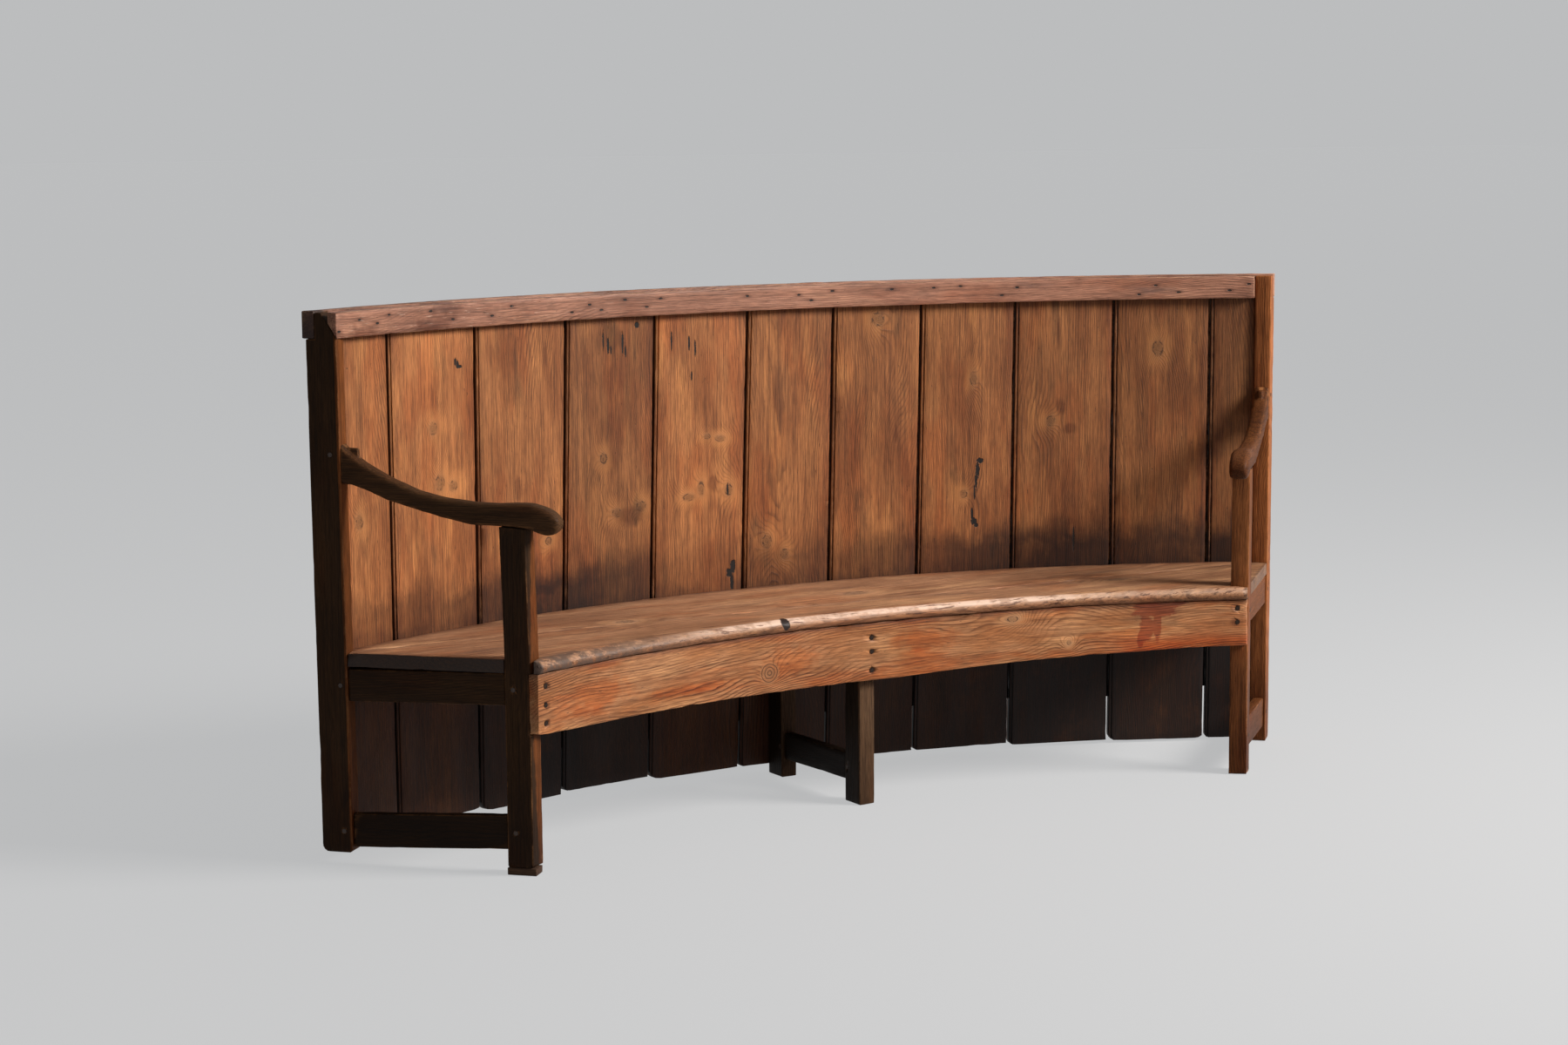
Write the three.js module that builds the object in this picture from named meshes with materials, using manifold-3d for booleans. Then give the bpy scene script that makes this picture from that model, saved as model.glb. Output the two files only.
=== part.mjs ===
// A curved high-backed pine settle, or monks bench, in millimetres with +Z up.
// +X runs along the bench, +Y towards its back, and the origin is the middle of its footprint on the floor.
import * as THREE from "three";
import { mergeVertices } from "three/addons/utils/BufferGeometryUtils.js";
import Module from "manifold-3d";

const wasm = await Module();
wasm.setup();

// Whole bench
const benchHeight = 1180;
const seatHeight = 460;
const seatThickness = 30;
const jointGap = 0.3;
const overrun = 420;
const deg = Math.PI / 180;

// Curve of the back: the front faces of the boards stand on this circle
const backRadius = 2586;
const backHalfAngle = 28.06 * deg;
const curveSteps = 24;
const cornerSteps = 4;
const sweepShare = 0.999;

// Curve of the front: the back face of the apron stands on this circle
const frontRadius = 2325;
const frontSetForward = 429.5;
const frontSteps = 28;

// End frames: post, leg, arm and two rails in one upright plane at each end
const endFrameAngle = 45.3 * deg;
const postWidth = 70;
const postThickness = 40;
const postRake = 8;
const postChamfer = 34;
const postChamferDrop = 57;
const postFootRound = 20;
const postCornerSetback = 20;
const leftRearFootLift = 28;
const rightRearFootLift = 0;
const legWidth = 57;
const legThickness = 42;
const legLean = 7;
const legFrontBevel = 7;
const legFootRound = 7;
const packingHeight = 16;
const packingMargin = 3;

// Rails of the end frames
const seatRailHeight = 69;
const seatRailRise = 5;
const seatRailThickness = 30;
const seatRailInset = 4;
const footRailHeight = 73;
const footRailThickness = 26;
const footRailInset = 6;
const footRailRearTop = 112;
const footRailRise = 14;
const tenonLength = 38;
const tenonThickness = 12;
const tenonShoulder = 7;
const pegRadius = 5;
const pegProud = 0.6;
const pegSides = 10;

// Arms
const armLength = 481;
const armRearTop = 902;
const armFall = 109;
const armRearThickness = 38;
const armFrontThickness = 48;
const armEdgeRound = 9;
const armTenonHeight = 42;
const armTenonLength = 34;
const armPegSetback = 29;
const legTenonHeight = 18;
const legTenonWidth = 36;
// Each row: place along the arm, then the drop of its top and of its underside below the rear top.
const armOutlineShares = [
  [0, 0, 0.76],
  [0.042, 0.17, 0.77],
  [0.104, 0.355, 0.865],
  [0.216, 0.62, 1.073],
  [0.35, 0.862, 1.238],
  [0.463, 0.983, 1.365],
  [0.597, 1.053, 1.495],
  [0.71, 1.073, 1.5],
  [0.8, 1.05, 1.52],
  [0.863, 1.05, 1.55],
  [0.898, 1.09, 1.625],
  [0.93, 1.14, 1.665],
  [0.958, 1.195, 1.665],
  [0.981, 1.265, 1.61],
  [1, 1.4, 1.49],
];
// Width of the arm at each of those places, as shares of the width between rear and front.
const armWidthShares = [0, 0.02, 0.05, 0.12, 0.25, 0.4, 0.6, 0.8, 0.95, 1, 1, 0.96, 0.82, 0.5, -0.2];

// Middle frame, square to the bench
const middleFrameOffset = 2;
const middleLegThickness = 41;
const middleLegDepth = 66;
const middleRailHeight = 60;
const middleRailThickness = 30;
const middleTenonLength = 19;
const stretcherHeight = 64;
const stretcherThickness = 26;
const stretcherFrontTop = 114;
const stretcherRise = 7;

// Back boards
const boardThickness = 24;
const boardGap = 6;
const boardTopDrop = 2;
const beadRadius = 3.5;
const quirkWidth = 1.6;
const quirkDepth = 3;
const boardCornerRound = 34;
const boardFootRise = 30;
// Joints between the eleven boards as shares of the half angle, at the top and at the foot of the back.
const jointTopShares = [-0.883, -0.67, -0.456, -0.254, -0.049, 0.136, 0.323, 0.518, 0.72, 0.914];
const jointFootShares = [-0.882, -0.679, -0.485, -0.284, -0.08, 0.111, 0.301, 0.504, 0.712, 0.91];
const hiddenEdgeShare = 1.07;
// Height of each board's worn foot above the floor, and its corner rounding, as shares.
const boardFootShares = [1.05, 1.25, 0.95, 1.1, 0.78, 0.74, 0.52, 0.48, 0.3, 0.2, 0.22];
const boardCornerShares = [0.5, 0.8, 1, 0.7, 1, 0.45, 0.9, 0.4, 0.5, 0.7, 0.35];

// Rails that hold the back boards
const topRailHeight = 56;
const frontTopRailThickness = 20;
const rearTopRailThickness = 26;
const rearTopRailProud = 3;
const topRailEdge = 3;
const backRailHeight = 46;
const backRailWidth = 42;

// Seat boards and apron
const seatNoseOverhang = 8;
const seatNoseDepth = 26;
const seatJointSetback = 322;
const seatJointGap = 1.2;
const apronThickness = 22;
const apronHeight = 135;
const apronEndInset = 1;
const nailRadius = 2.2;
const nailHeadRadius = 5.5;
const nailHeadDepth = 1.5;
const nailProud = 0.5;
const nailLength = 40;
const nailSides = 10;
const nailEndSetback = 34;
// Section of the worn front edge: depth back from the front, and drop from the top of the seat.
const seatNoseShares = [
  [1, 0],
  [0.62, 0.05],
  [0.3, 0.2],
  [0.08, 0.42],
  [0, 0.64],
  [0.07, 0.86],
  [0.22, 1],
];
// Height of the apron along its length, end to end, as shares of its full height.
const apronRunShares = [0, 0.03, 0.08, 0.3, 0.54, 0.62, 0.7, 0.82, 0.92, 1];
const apronHeightShares = [0.92, 0.965, 0.985, 0.99, 1, 0.955, 0.91, 0.875, 0.83, 0.815];

// Drops of the nails below the top of the apron at its left end, middle and right end.
const nailDropShares = [
  [0.2, 0.5, 0.79],
  [0.26, 0.5, 0.82],
  [0.15, 0.4],
];

// Sizes that follow from the ones above
const seatUnderside = seatHeight - seatThickness;
const postCorner = new THREE.Vector2(
  (backRadius - postCornerSetback) * Math.sin(backHalfAngle),
  (backRadius - postCornerSetback) * Math.cos(backHalfAngle),
);
const frameForward = new THREE.Vector2(Math.sin(endFrameAngle), -Math.cos(endFrameAngle));
const frameInward = new THREE.Vector2(Math.cos(endFrameAngle), Math.sin(endFrameAngle));
const endOrigin = new THREE.Vector2(-postCorner.x, postCorner.y)
  .addScaledVector(frameForward, -postWidth)
  .addScaledVector(frameInward, -postThickness);
const frontLine = backRadius - frontSetForward;
const frontCentre = frontLine - frontRadius;

// The middle of each end leg's front face stands on the curve behind the apron.
const legMiddle = endOrigin.clone().addScaledVector(frameInward, legThickness / 2);
const toLeg = legMiddle.clone().sub(new THREE.Vector2(0, frontCentre));
const reach = -toLeg.dot(frameForward);
const legFront = reach - Math.sqrt(reach ** 2 - toLeg.lengthSq() + frontRadius ** 2) - legFrontBevel / 2;
const legSetForward = legFront - legWidth;

// Each back board faces the middle of its four corner angles, and its face is a chord of the back's circle.
const boards = [...jointTopShares, hiddenEdgeShare].map((share, i) => {
  const edges = [jointTopShares, jointFootShares].flatMap((shares) => [
    i > 0 ? shares[i - 1] : -hiddenEdgeShare,
    i < shares.length ? shares[i] : hiddenEdgeShare,
  ]);
  const angles = edges.map((edge) => edge * backHalfAngle);
  const facing = angles.reduce((sum, angle) => sum + angle) / angles.length;
  const widest = Math.max(...angles.map((angle) => Math.abs(angle - facing)));
  const [topLeft, topRight, footLeft, footRight] = angles;
  return { topLeft, topRight, footLeft, footRight, facing, widest, face: backRadius * Math.cos(widest) };
});
const boardFace = Math.min(...boards.map((board) => board.face)) - jointGap;
const boardCorner = Math.max(
  ...boards.map((board) => Math.hypot(board.face + boardThickness, backRadius * Math.sin(board.widest))),
);
const boardBack = (boardCorner + jointGap) / Math.cos(backHalfAngle / curveSteps);

// Solids and how they are cut

// One closed body from points and triangles, turned so that its faces point outwards.
function closedBody(points, faces) {
  let volume = 0;
  for (const [a, b, c] of faces)
    volume += points[a].dot(new THREE.Vector3().crossVectors(points[b], points[c]));
  const ordered = volume < 0 ? faces.map(([a, b, c]) => [a, c, b]) : faces;
  const geometry = new THREE.BufferGeometry();
  const positions = points.flatMap((p) => [p.x, p.y, p.z]);
  geometry.setAttribute("position", new THREE.Float32BufferAttribute(positions, 3));
  geometry.setIndex(ordered.flat());
  return geometry;
}

// Triangles that close a ring, wound the way the ring runs. The ring is seen along its flattest axis.
function capFaces(ring) {
  const normal = new THREE.Vector3();
  ring.forEach((p, i) => normal.add(new THREE.Vector3().crossVectors(p, ring[(i + 1) % ring.length])));
  const size = [Math.abs(normal.x), Math.abs(normal.y), Math.abs(normal.z)];
  const dropped = size.indexOf(Math.max(...size));
  const [u, v] = [["y", "z"], ["x", "z"], ["x", "y"]][dropped];
  const contour = ring.map((p) => new THREE.Vector2(p[u], p[v]));
  const turn = Math.sign(THREE.ShapeUtils.area(contour));
  return THREE.ShapeUtils.triangulateShape(contour, []).map(([a, b, c]) => {
    const same = Math.sign(THREE.ShapeUtils.area([contour[a], contour[b], contour[c]])) === turn;
    return same ? [a, b, c] : [a, c, b];
  });
}

// A solid through rings of points that all run round the section the same way.
function loft(rings) {
  const count = rings[0].length;
  const faces = [];
  for (let r = 0; r + 1 < rings.length; r++)
    for (let i = 0; i < count; i++) {
      const near = r * count;
      const far = near + count;
      const next = (i + 1) % count;
      faces.push([near + i, near + next, far + next], [near + i, far + next, far + i]);
    }
  const last = (rings.length - 1) * count;
  for (const [a, b, c] of capFaces(rings[0])) faces.push([a, c, b]);
  for (const [a, b, c] of capFaces(rings[rings.length - 1])) faces.push([last + a, last + b, last + c]);
  return closedBody(rings.flat(), faces);
}

// An outline in the XZ plane, made solid across Y between two places.
function plate(shape, from, to) {
  const depth = to - from;
  const settings = { depth, bevelEnabled: false, curveSegments: cornerSteps };
  const geometry = new THREE.ExtrudeGeometry(shape, settings);
  geometry.rotateX(Math.PI / 2);
  geometry.translate(0, to, 0);
  return geometry;
}

function outline(points) {
  return new THREE.Shape(points.map(([x, z]) => new THREE.Vector2(x, z)));
}

function block(x, y, z) {
  const geometry = new THREE.BoxGeometry(x[1] - x[0], y[1] - y[0], z[1] - z[0]);
  return geometry.translate((x[0] + x[1]) / 2, (y[0] + y[1]) / 2, (z[0] + z[1]) / 2);
}

// A section of radii and heights, swept round the centre of the back.
function sweep(section, from, to, steps) {
  const rings = [];
  for (let i = 0; i <= steps; i++) {
    const angle = from + ((to - from) * i) / steps;
    rings.push(section.map(([r, z]) => new THREE.Vector3(r * Math.sin(angle), r * Math.cos(angle), z)));
  }
  return loft(rings);
}

function asSolid(geometry) {
  const bare = new THREE.BufferGeometry();
  bare.setAttribute("position", geometry.getAttribute("position").clone());
  bare.setIndex(geometry.index);
  const merged = mergeVertices(bare);
  const vertProperties = new Float32Array(merged.getAttribute("position").array);
  const triVerts = new Uint32Array(merged.index.array);
  return new wasm.Manifold(new wasm.Mesh({ numProp: 3, vertProperties, triVerts }));
}

function asGeometry(solid) {
  const mesh = solid.getMesh();
  const geometry = new THREE.BufferGeometry();
  geometry.setAttribute("position", new THREE.Float32BufferAttribute(mesh.vertProperties, 3));
  geometry.setIndex(Array.from(mesh.triVerts));
  return geometry;
}

function cut(geometry, ...tools) {
  return asGeometry(tools.reduce((body, tool) => body.subtract(asSolid(tool)), asSolid(geometry)));
}

function join(...pieces) {
  return asGeometry(pieces.slice(1).reduce((body, piece) => body.add(asSolid(piece)), asSolid(pieces[0])));
}

function common(geometry, tool) {
  return asGeometry(asSolid(geometry).intersect(asSolid(tool)));
}

// A round-headed cut nail along +Y, its head at the wood's face and its shank behind it.
function nailBody(grow) {
  const profile = [
    [0, -nailLength - grow],
    [nailRadius + grow, -nailLength - grow],
    [nailRadius + grow, -nailHeadDepth - grow],
    [nailHeadRadius + grow, -nailHeadDepth - grow],
    [nailHeadRadius + grow, nailProud],
    [0, nailProud],
  ];
  return new THREE.LatheGeometry(profile.map(([r, y]) => new THREE.Vector2(r, y)), nailSides);
}

// Frames: each end frame and the middle frame is drawn in its own plane, x forwards and z up

const bench = new THREE.Group();
const leftEnd = new THREE.Group();
leftEnd.position.set(endOrigin.x, endOrigin.y, 0);
leftEnd.rotation.z = endFrameAngle - Math.PI / 2;
const rightEnd = new THREE.Group();
rightEnd.position.set(-endOrigin.x, endOrigin.y, 0);
rightEnd.rotation.z = -endFrameAngle - Math.PI / 2;
const middle = new THREE.Group();
middle.position.set(middleFrameOffset, frontLine, 0);
middle.rotation.z = -Math.PI / 2;
bench.add(leftEnd, rightEnd, middle);
bench.updateMatrixWorld(true);

function outOf(frame, geometry) {
  return geometry.clone().applyMatrix4(frame.matrixWorld);
}

function into(frame, geometry) {
  return geometry.clone().applyMatrix4(frame.matrixWorld.clone().invert());
}

// The right-hand copy of a piece of an end frame, mirrored across the frame's own plane.
function mirrored(geometry) {
  const copy = mergeVertices(geometry.clone().scale(1, -1, 1));
  copy.setIndex(Array.from(copy.index.array).reverse());
  return copy;
}

// Wood colours
const boardWood = { color: 0x8d5a34, roughness: 0.62, metalness: 0 };
const apronWood = { color: 0xa7663a, roughness: 0.6, metalness: 0 };
const seatWood = { color: 0x93653f, roughness: 0.5, metalness: 0 };
const frameWood = { color: 0x5f3c25, roughness: 0.6, metalness: 0 };
const hiddenWood = { color: 0x3d291c, roughness: 0.8, metalness: 0 };
const nailIron = { color: 0x2a211b, roughness: 0.7, metalness: 0.6 };

function piece(name, geometry, wood, holder = bench) {
  geometry.computeVertexNormals();
  const mesh = new THREE.Mesh(geometry, new THREE.MeshStandardMaterial(wood));
  mesh.name = name;
  holder.add(mesh);
  return mesh;
}

// Front and back curves as seen from above

function apronLine(x) {
  return frontCentre + Math.sqrt(frontRadius ** 2 - x ** 2);
}

// End-frame pieces, drawn for the left end: x forwards from the post's back, y inwards, z up

function postFront(z) {
  return postWidth - (postRake * z) / benchHeight;
}

function postOutline(footLift, bevelled) {
  const shape = new THREE.Shape();
  const rearTop = -postRake;
  shape.moveTo(0, footLift + postFootRound);
  shape.quadraticCurveTo(0, footLift, postFootRound, footLift);
  shape.lineTo(postWidth - postFootRound / 2, footLift);
  shape.quadraticCurveTo(postFront(footLift), footLift, postFront(footLift), footLift + postFootRound / 2);
  if (bevelled) {
    const bevelFoot = benchHeight - postChamferDrop;
    shape.lineTo(postFront(bevelFoot), bevelFoot);
    shape.lineTo(postFront(benchHeight) - postChamfer, benchHeight);
  } else {
    shape.lineTo(postFront(benchHeight), benchHeight);
  }
  shape.lineTo(rearTop, benchHeight);
  return shape;
}

// A bar between two upright faces whose top edge climbs by a rise from rear to front.
function bar(x, top, rise, height, y, grow = 0) {
  const slope = rise / (legSetForward - postWidth);
  const topAt = (at) => top + slope * (at - postWidth) + grow;
  const bottomAt = (at) => top + slope * (at - postWidth) - height - grow;
  const points = [
    [x[0], bottomAt(x[0])],
    [x[1], bottomAt(x[1])],
    [x[1], topAt(x[1])],
    [x[0], topAt(x[0])],
  ];
  return plate(outline(points), y[0] - grow, y[1] + grow);
}

const seatRail = {
  top: seatUnderside - jointGap - seatRailRise,
  rise: seatRailRise,
  height: seatRailHeight,
  y: [seatRailInset, seatRailInset + seatRailThickness],
};
const footRail = {
  top: footRailRearTop,
  rise: footRailRise,
  height: footRailHeight,
  y: [footRailInset, footRailInset + footRailThickness],
};

function tenonOf(rail, grow) {
  const middleY = (rail.y[0] + rail.y[1]) / 2;
  const y = [middleY - tenonThickness / 2, middleY + tenonThickness / 2];
  const x = [postWidth - tenonLength - grow, legSetForward + tenonLength + grow];
  return bar(x, rail.top - tenonShoulder, rail.rise, rail.height - 2 * tenonShoulder, y, grow);
}

function railPegs(rail) {
  const slope = rail.rise / (legSetForward - postWidth);
  return [postWidth - tenonLength / 2, legSetForward + tenonLength / 2].map((x) => ({
    x,
    z: rail.top + slope * (x - postWidth) - rail.height / 2,
  }));
}

const armPegPlace = { x: postWidth - armPegSetback, z: armRearTop - armTenonHeight / 2 };
const pegPlaces = [...railPegs(seatRail), ...railPegs(footRail), armPegPlace];

function peg(place, y, grow = 0) {
  const length = y[1] - y[0];
  const geometry = new THREE.CylinderGeometry(pegRadius + grow, pegRadius + grow, length, pegSides);
  return geometry.translate(place.x, (y[0] + y[1]) / 2, place.z);
}

const pegHoles = pegPlaces.map((place) => peg(place, [-overrun, overrun], jointGap));

function armHeights(share) {
  const rows = armOutlineShares;
  const i = Math.max(1, rows.findIndex((row) => row[0] >= share));
  const t = (share - rows[i - 1][0]) / (rows[i][0] - rows[i - 1][0]);
  const mix = (k) => rows[i - 1][k] + t * (rows[i][k] - rows[i - 1][k]);
  return { top: armRearTop - armFall * mix(1), under: armRearTop - armFall * mix(2) };
}

const armStart = postFront(armRearTop - armTenonHeight) + jointGap;

function armUnderAt(x) {
  return armHeights((x - armStart) / armLength).under;
}

function armBody(grow) {
  const rings = armOutlineShares.map(([along, topShare, underShare], i) => {
    const x = armStart + armLength * along;
    const top = armRearTop - armFall * topShare;
    const under = armRearTop - armFall * underShare - grow;
    const half = (armRearThickness + (armFrontThickness - armRearThickness) * armWidthShares[i]) / 2;
    const round = Math.min(armEdgeRound, half / 2, (top - under) / 3);
    const corners = [
      [-half, under + round / 2],
      [-half + round / 2, under],
      [half - round / 2, under],
      [half, under + round / 2],
      [half, top - round],
      [half - round / 3, top - round / 3],
      [half - round, top],
      [-half + round, top],
      [-half + round / 3, top - round / 3],
      [-half, top - round],
    ];
    return corners.map(([y, z]) => new THREE.Vector3(x, y + legThickness / 2, z));
  });
  return loft(rings);
}

function armTenon(grow) {
  const y = [legThickness / 2 - tenonThickness / 2 - grow, legThickness / 2 + tenonThickness / 2 + grow];
  const top = armRearTop - tenonShoulder + grow;
  const x = [armStart - armTenonLength - grow, armStart + armTenonLength];
  return block(x, y, [top - armTenonHeight - grow * 2, top]);
}

function legTenon(grow) {
  const centre = (legSetForward + legFront) / 2 - legLean;
  const x = [centre - legTenonWidth / 2 - grow, centre + legTenonWidth / 2 + grow];
  const y = [legThickness / 2 - tenonThickness / 2 - grow, legThickness / 2 + tenonThickness / 2 + grow];
  const under = armUnderAt(centre);
  return block(x, y, [under - legTenonHeight, under + legTenonHeight + grow]);
}

function legBody(footHeight) {
  const shape = new THREE.Shape();
  shape.moveTo(legSetForward, footHeight + legFootRound);
  shape.quadraticCurveTo(legSetForward, footHeight, legSetForward + legFootRound, footHeight);
  shape.lineTo(legFront - legFootRound, footHeight);
  shape.quadraticCurveTo(legFront, footHeight, legFront, footHeight + legFootRound);
  const frontTop = legFront - legLean;
  const rearTop = legSetForward - legLean;
  shape.lineTo(legFront, seatHeight);
  shape.lineTo(frontTop, armUnderAt(frontTop) + legTenonHeight / 2);
  shape.lineTo(rearTop, armUnderAt(rearTop) + legTenonHeight / 2);
  shape.lineTo(legSetForward, seatHeight);
  const geometry = plate(shape, 0, legThickness);
  const points = geometry.getAttribute("position");
  for (let i = 0; i < points.count; i++) {
    const slant = (legFrontBevel * points.getY(i)) / legThickness;
    if (points.getX(i) > legSetForward + legWidth / 2) points.setX(i, points.getX(i) + slant);
  }
  return geometry;
}

// The top rails, the back rail, the seat and the apron follow the curves

const endReach = (hiddenEdgeShare + 1) / 2;
const topRailSpan = backHalfAngle * hiddenEdgeShare;

function rearTopRailBody(grow) {
  const r = [boardBack - grow, boardBack + rearTopRailThickness + grow];
  const z = [benchHeight - topRailHeight - grow, benchHeight + rearTopRailProud + grow];
  const edge = topRailEdge;
  const section = [
    [r[0], z[0]],
    [r[1] - edge, z[0]],
    [r[1], z[0] + edge],
    [r[1], z[1] - edge],
    [r[1] - edge, z[1]],
    [r[0], z[1]],
  ];
  return sweep(section, -topRailSpan, topRailSpan, curveSteps);
}

function frontTopRailBody() {
  const r = [boardFace - frontTopRailThickness, boardFace];
  const z = [benchHeight - topRailHeight, benchHeight];
  const section = [
    [r[0], z[0]],
    [r[1], z[0]],
    [r[1], z[1]],
    [r[0] + topRailEdge, z[1]],
    [r[0], z[1] - topRailEdge],
  ];
  return sweep(section, -topRailSpan, topRailSpan, curveSteps);
}

function backRailBody(grow) {
  const r = [boardFace - backRailWidth - grow, boardFace + grow];
  const z = [seatUnderside - jointGap - backRailHeight - grow, seatUnderside - jointGap + grow];
  const section = [
    [r[0], z[0]],
    [r[1], z[0]],
    [r[1], z[1]],
    [r[0], z[1]],
  ];
  return sweep(section, -backHalfAngle * endReach, backHalfAngle * endReach, curveSteps);
}

// Everything outside an end frame's own plane, moved inwards by an inset.
function outsideOf(frame, inset) {
  const inward = frame === leftEnd ? 1 : -1;
  const y = [-backRadius, inset].map((at) => at * inward).sort((a, b) => a - b);
  return outOf(frame, block([-overrun, backRadius], y, [-overrun, benchHeight + overrun]));
}

function seatBlocks(blocks) {
  const half = backRadius * Math.sin(backHalfAngle) + postWidth;
  const rings = [];
  for (let i = 0; i <= frontSteps; i++) {
    const x = -half + (2 * half * i) / frontSteps;
    rings.push(blocks(x).map(([y, z]) => new THREE.Vector3(x, y, z)));
  }
  return loft(rings);
}

const seatJoint = boardFace - seatJointSetback;

const seatFrontBody = seatBlocks((x) => {
  const edge = apronLine(x) - apronThickness - seatNoseOverhang;
  const nose = seatNoseShares.map(([back, down]) => [
    edge + back * seatNoseDepth,
    seatHeight - down * seatThickness,
  ]);
  const rear = seatJoint - seatJointGap / 2;
  return [...nose, [rear, seatUnderside], [rear, seatHeight]];
});

function seatRearBody() {
  const near = seatJoint + seatJointGap / 2;
  const span = Math.acos(near / boardFace) * sweepShare;
  const rings = [];
  for (let i = 0; i <= frontSteps; i++) {
    const angle = -span + (2 * span * i) / frontSteps;
    const x = boardFace * Math.sin(angle);
    const rear = boardFace * Math.cos(angle);
    const points = [
      [near, seatUnderside],
      [rear, seatUnderside],
      [rear, seatHeight],
      [near, seatHeight],
    ];
    rings.push(points.map(([y, z]) => new THREE.Vector3(x, y, z)));
  }
  return loft(rings);
}

function along(places, values, at) {
  const i = Math.max(1, places.findIndex((place) => place >= at));
  const t = (at - places[i - 1]) / (places[i] - places[i - 1]);
  return values[i - 1] + t * (values[i] - values[i - 1]);
}

const apronHalf = endOrigin.x + legFront * frameForward.x;

function apronBody(grow, forward) {
  const half = Math.abs(apronHalf) + legThickness;
  const rings = [];
  for (let i = 0; i <= frontSteps; i++) {
    const x = -half + (2 * half * i) / frontSteps;
    const height = apronHeight * along(apronRunShares, apronHeightShares, i / frontSteps);
    const top = seatUnderside - jointGap + grow;
    const bottom = seatUnderside - height - grow;
    const y = [apronLine(x) - apronThickness - forward, apronLine(x) + grow];
    const points = [
      [y[0], bottom],
      [y[1], bottom],
      [y[1], top],
      [y[0], top],
    ];
    rings.push(points.map(([at, z]) => new THREE.Vector3(x, at, z)));
  }
  return loft(rings);
}

// Nails through the apron into the three front legs, each pointing at the centre of the front curve
const nailEnd = Math.abs(apronHalf) - nailEndSetback;
const nails = [-nailEnd, middleFrameOffset, nailEnd].flatMap((x, place) =>
  nailDropShares[place].map((drop, i) => {
    const holder = new THREE.Group();
    holder.position.set(x, apronLine(x) - apronThickness, seatUnderside - apronHeight * drop);
    holder.rotation.z = Math.PI - Math.asin(x / frontRadius);
    bench.add(holder);
    holder.updateMatrixWorld(true);
    return { name: `apron_nail_${["left", "middle", "right"][place]}_${i + 1}`, holder };
  }),
);
const nailHoles = nails.map(({ holder }) => outOf(holder, nailBody(jointGap)));

// The two end frames

const apronSeat = apronBody(jointGap, overrun);
const rearRailSeat = rearTopRailBody(jointGap);

function endFrame(side, frame, rearFootLift, footHeight) {
  const hand = side === "left" ? (geometry) => geometry : mirrored;
  const tenonHoles = [tenonOf(seatRail, jointGap), tenonOf(footRail, jointGap), armTenon(jointGap)];
  const mortises = [...tenonHoles, ...pegHoles].map((tool) => hand(tool));

  const postBlank = hand(plate(postOutline(rearFootLift, side === "left"), 0, postThickness));
  piece(side + "_rear_post", cut(postBlank, ...mortises, into(frame, rearRailSeat)), frameWood, frame);

  const legBlank = join(cut(legBody(footHeight), armBody(jointGap)), legTenon(0));
  const holes = nailHoles.map((hole) => into(frame, hole));
  const leg = cut(hand(legBlank), ...mortises, into(frame, apronSeat), ...holes);
  piece(side + "_front_leg", leg, frameWood, frame);

  const arm = join(armBody(0), armTenon(0));
  piece(side + "_arm", hand(cut(arm, legTenon(jointGap), pegHoles[pegHoles.length - 1])), frameWood, frame);

  for (const [name, rail] of [["seat_rail", seatRail], ["foot_rail", footRail]]) {
    const x = [postFront(rail.top - rail.height) + jointGap, legSetForward - jointGap];
    const blank = join(bar(x, rail.top, rail.rise, rail.height, rail.y), tenonOf(rail, 0));
    piece(side + "_" + name, hand(cut(blank, ...pegHoles)), frameWood, frame);
  }

  const pegNames = ["seat_rail_rear", "seat_rail_front", "foot_rail_rear", "foot_rail_front", "arm"];
  pegPlaces.forEach((place, i) => {
    const depth = place.x > postWidth ? legThickness : postThickness;
    piece(`${side}_${pegNames[i]}_peg`, hand(peg(place, [-pegProud, depth])), frameWood, frame);
  });
}

endFrame("left", leftEnd, leftRearFootLift, packingHeight + jointGap);
endFrame("right", rightEnd, rightRearFootLift, 0);

// Packing piece under the left front leg
const packingX = [legSetForward - packingMargin / 3, legFront + legFrontBevel];
const packingY = [-packingMargin / 2, legThickness - packingMargin];
piece("left_foot_packing", block(packingX, packingY, [0, packingHeight]), hiddenWood, leftEnd);

// Middle frame: x forwards from the front leg's front face, y to the right
const betweenPosts = [leftEnd, rightEnd].map((frame) => outsideOf(frame, postThickness + jointGap));
const backRail = cut(backRailBody(0), ...betweenPosts);
piece("back_seat_rail", backRail, hiddenWood);

const middleLength = boardFace - frontLine;
const middleTop = seatUnderside - jointGap;
const middleHalf = middleLegThickness / 2;
const rearLegX = [-middleLength + jointGap, -middleLength + middleLegDepth];
const stretcherSlope = stretcherRise / middleLength;

// A rail of the middle frame between its legs, with its stub tenons, as two solids to join or to cut with.
function middleRail(top, height, thickness, slope, grow) {
  const solid = (x, drop, half) => {
    const topAt = (at) => top + slope * at - drop + grow;
    const bottomAt = (at) => top + slope * at - height + drop - grow;
    const points = [
      [x[0], bottomAt(x[0])],
      [x[1], bottomAt(x[1])],
      [x[1], topAt(x[1])],
      [x[0], topAt(x[0])],
    ];
    return plate(outline(points), -half - grow, half + grow);
  };
  const near = -middleLegDepth - jointGap;
  const far = rearLegX[1] + jointGap;
  const tenonX = [far - middleTenonLength - grow, near + middleTenonLength + grow];
  const body = solid([far, near], 0, thickness / 2);
  return { body, tenon: solid(tenonX, tenonShoulder, tenonThickness / 2) };
}

function middlePegs(top, height, slope) {
  return [rearLegX[1] - middleTenonLength / 2, middleTenonLength / 2 - middleLegDepth].map((x) => ({
    x,
    z: top + slope * x - height / 2,
  }));
}

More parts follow.
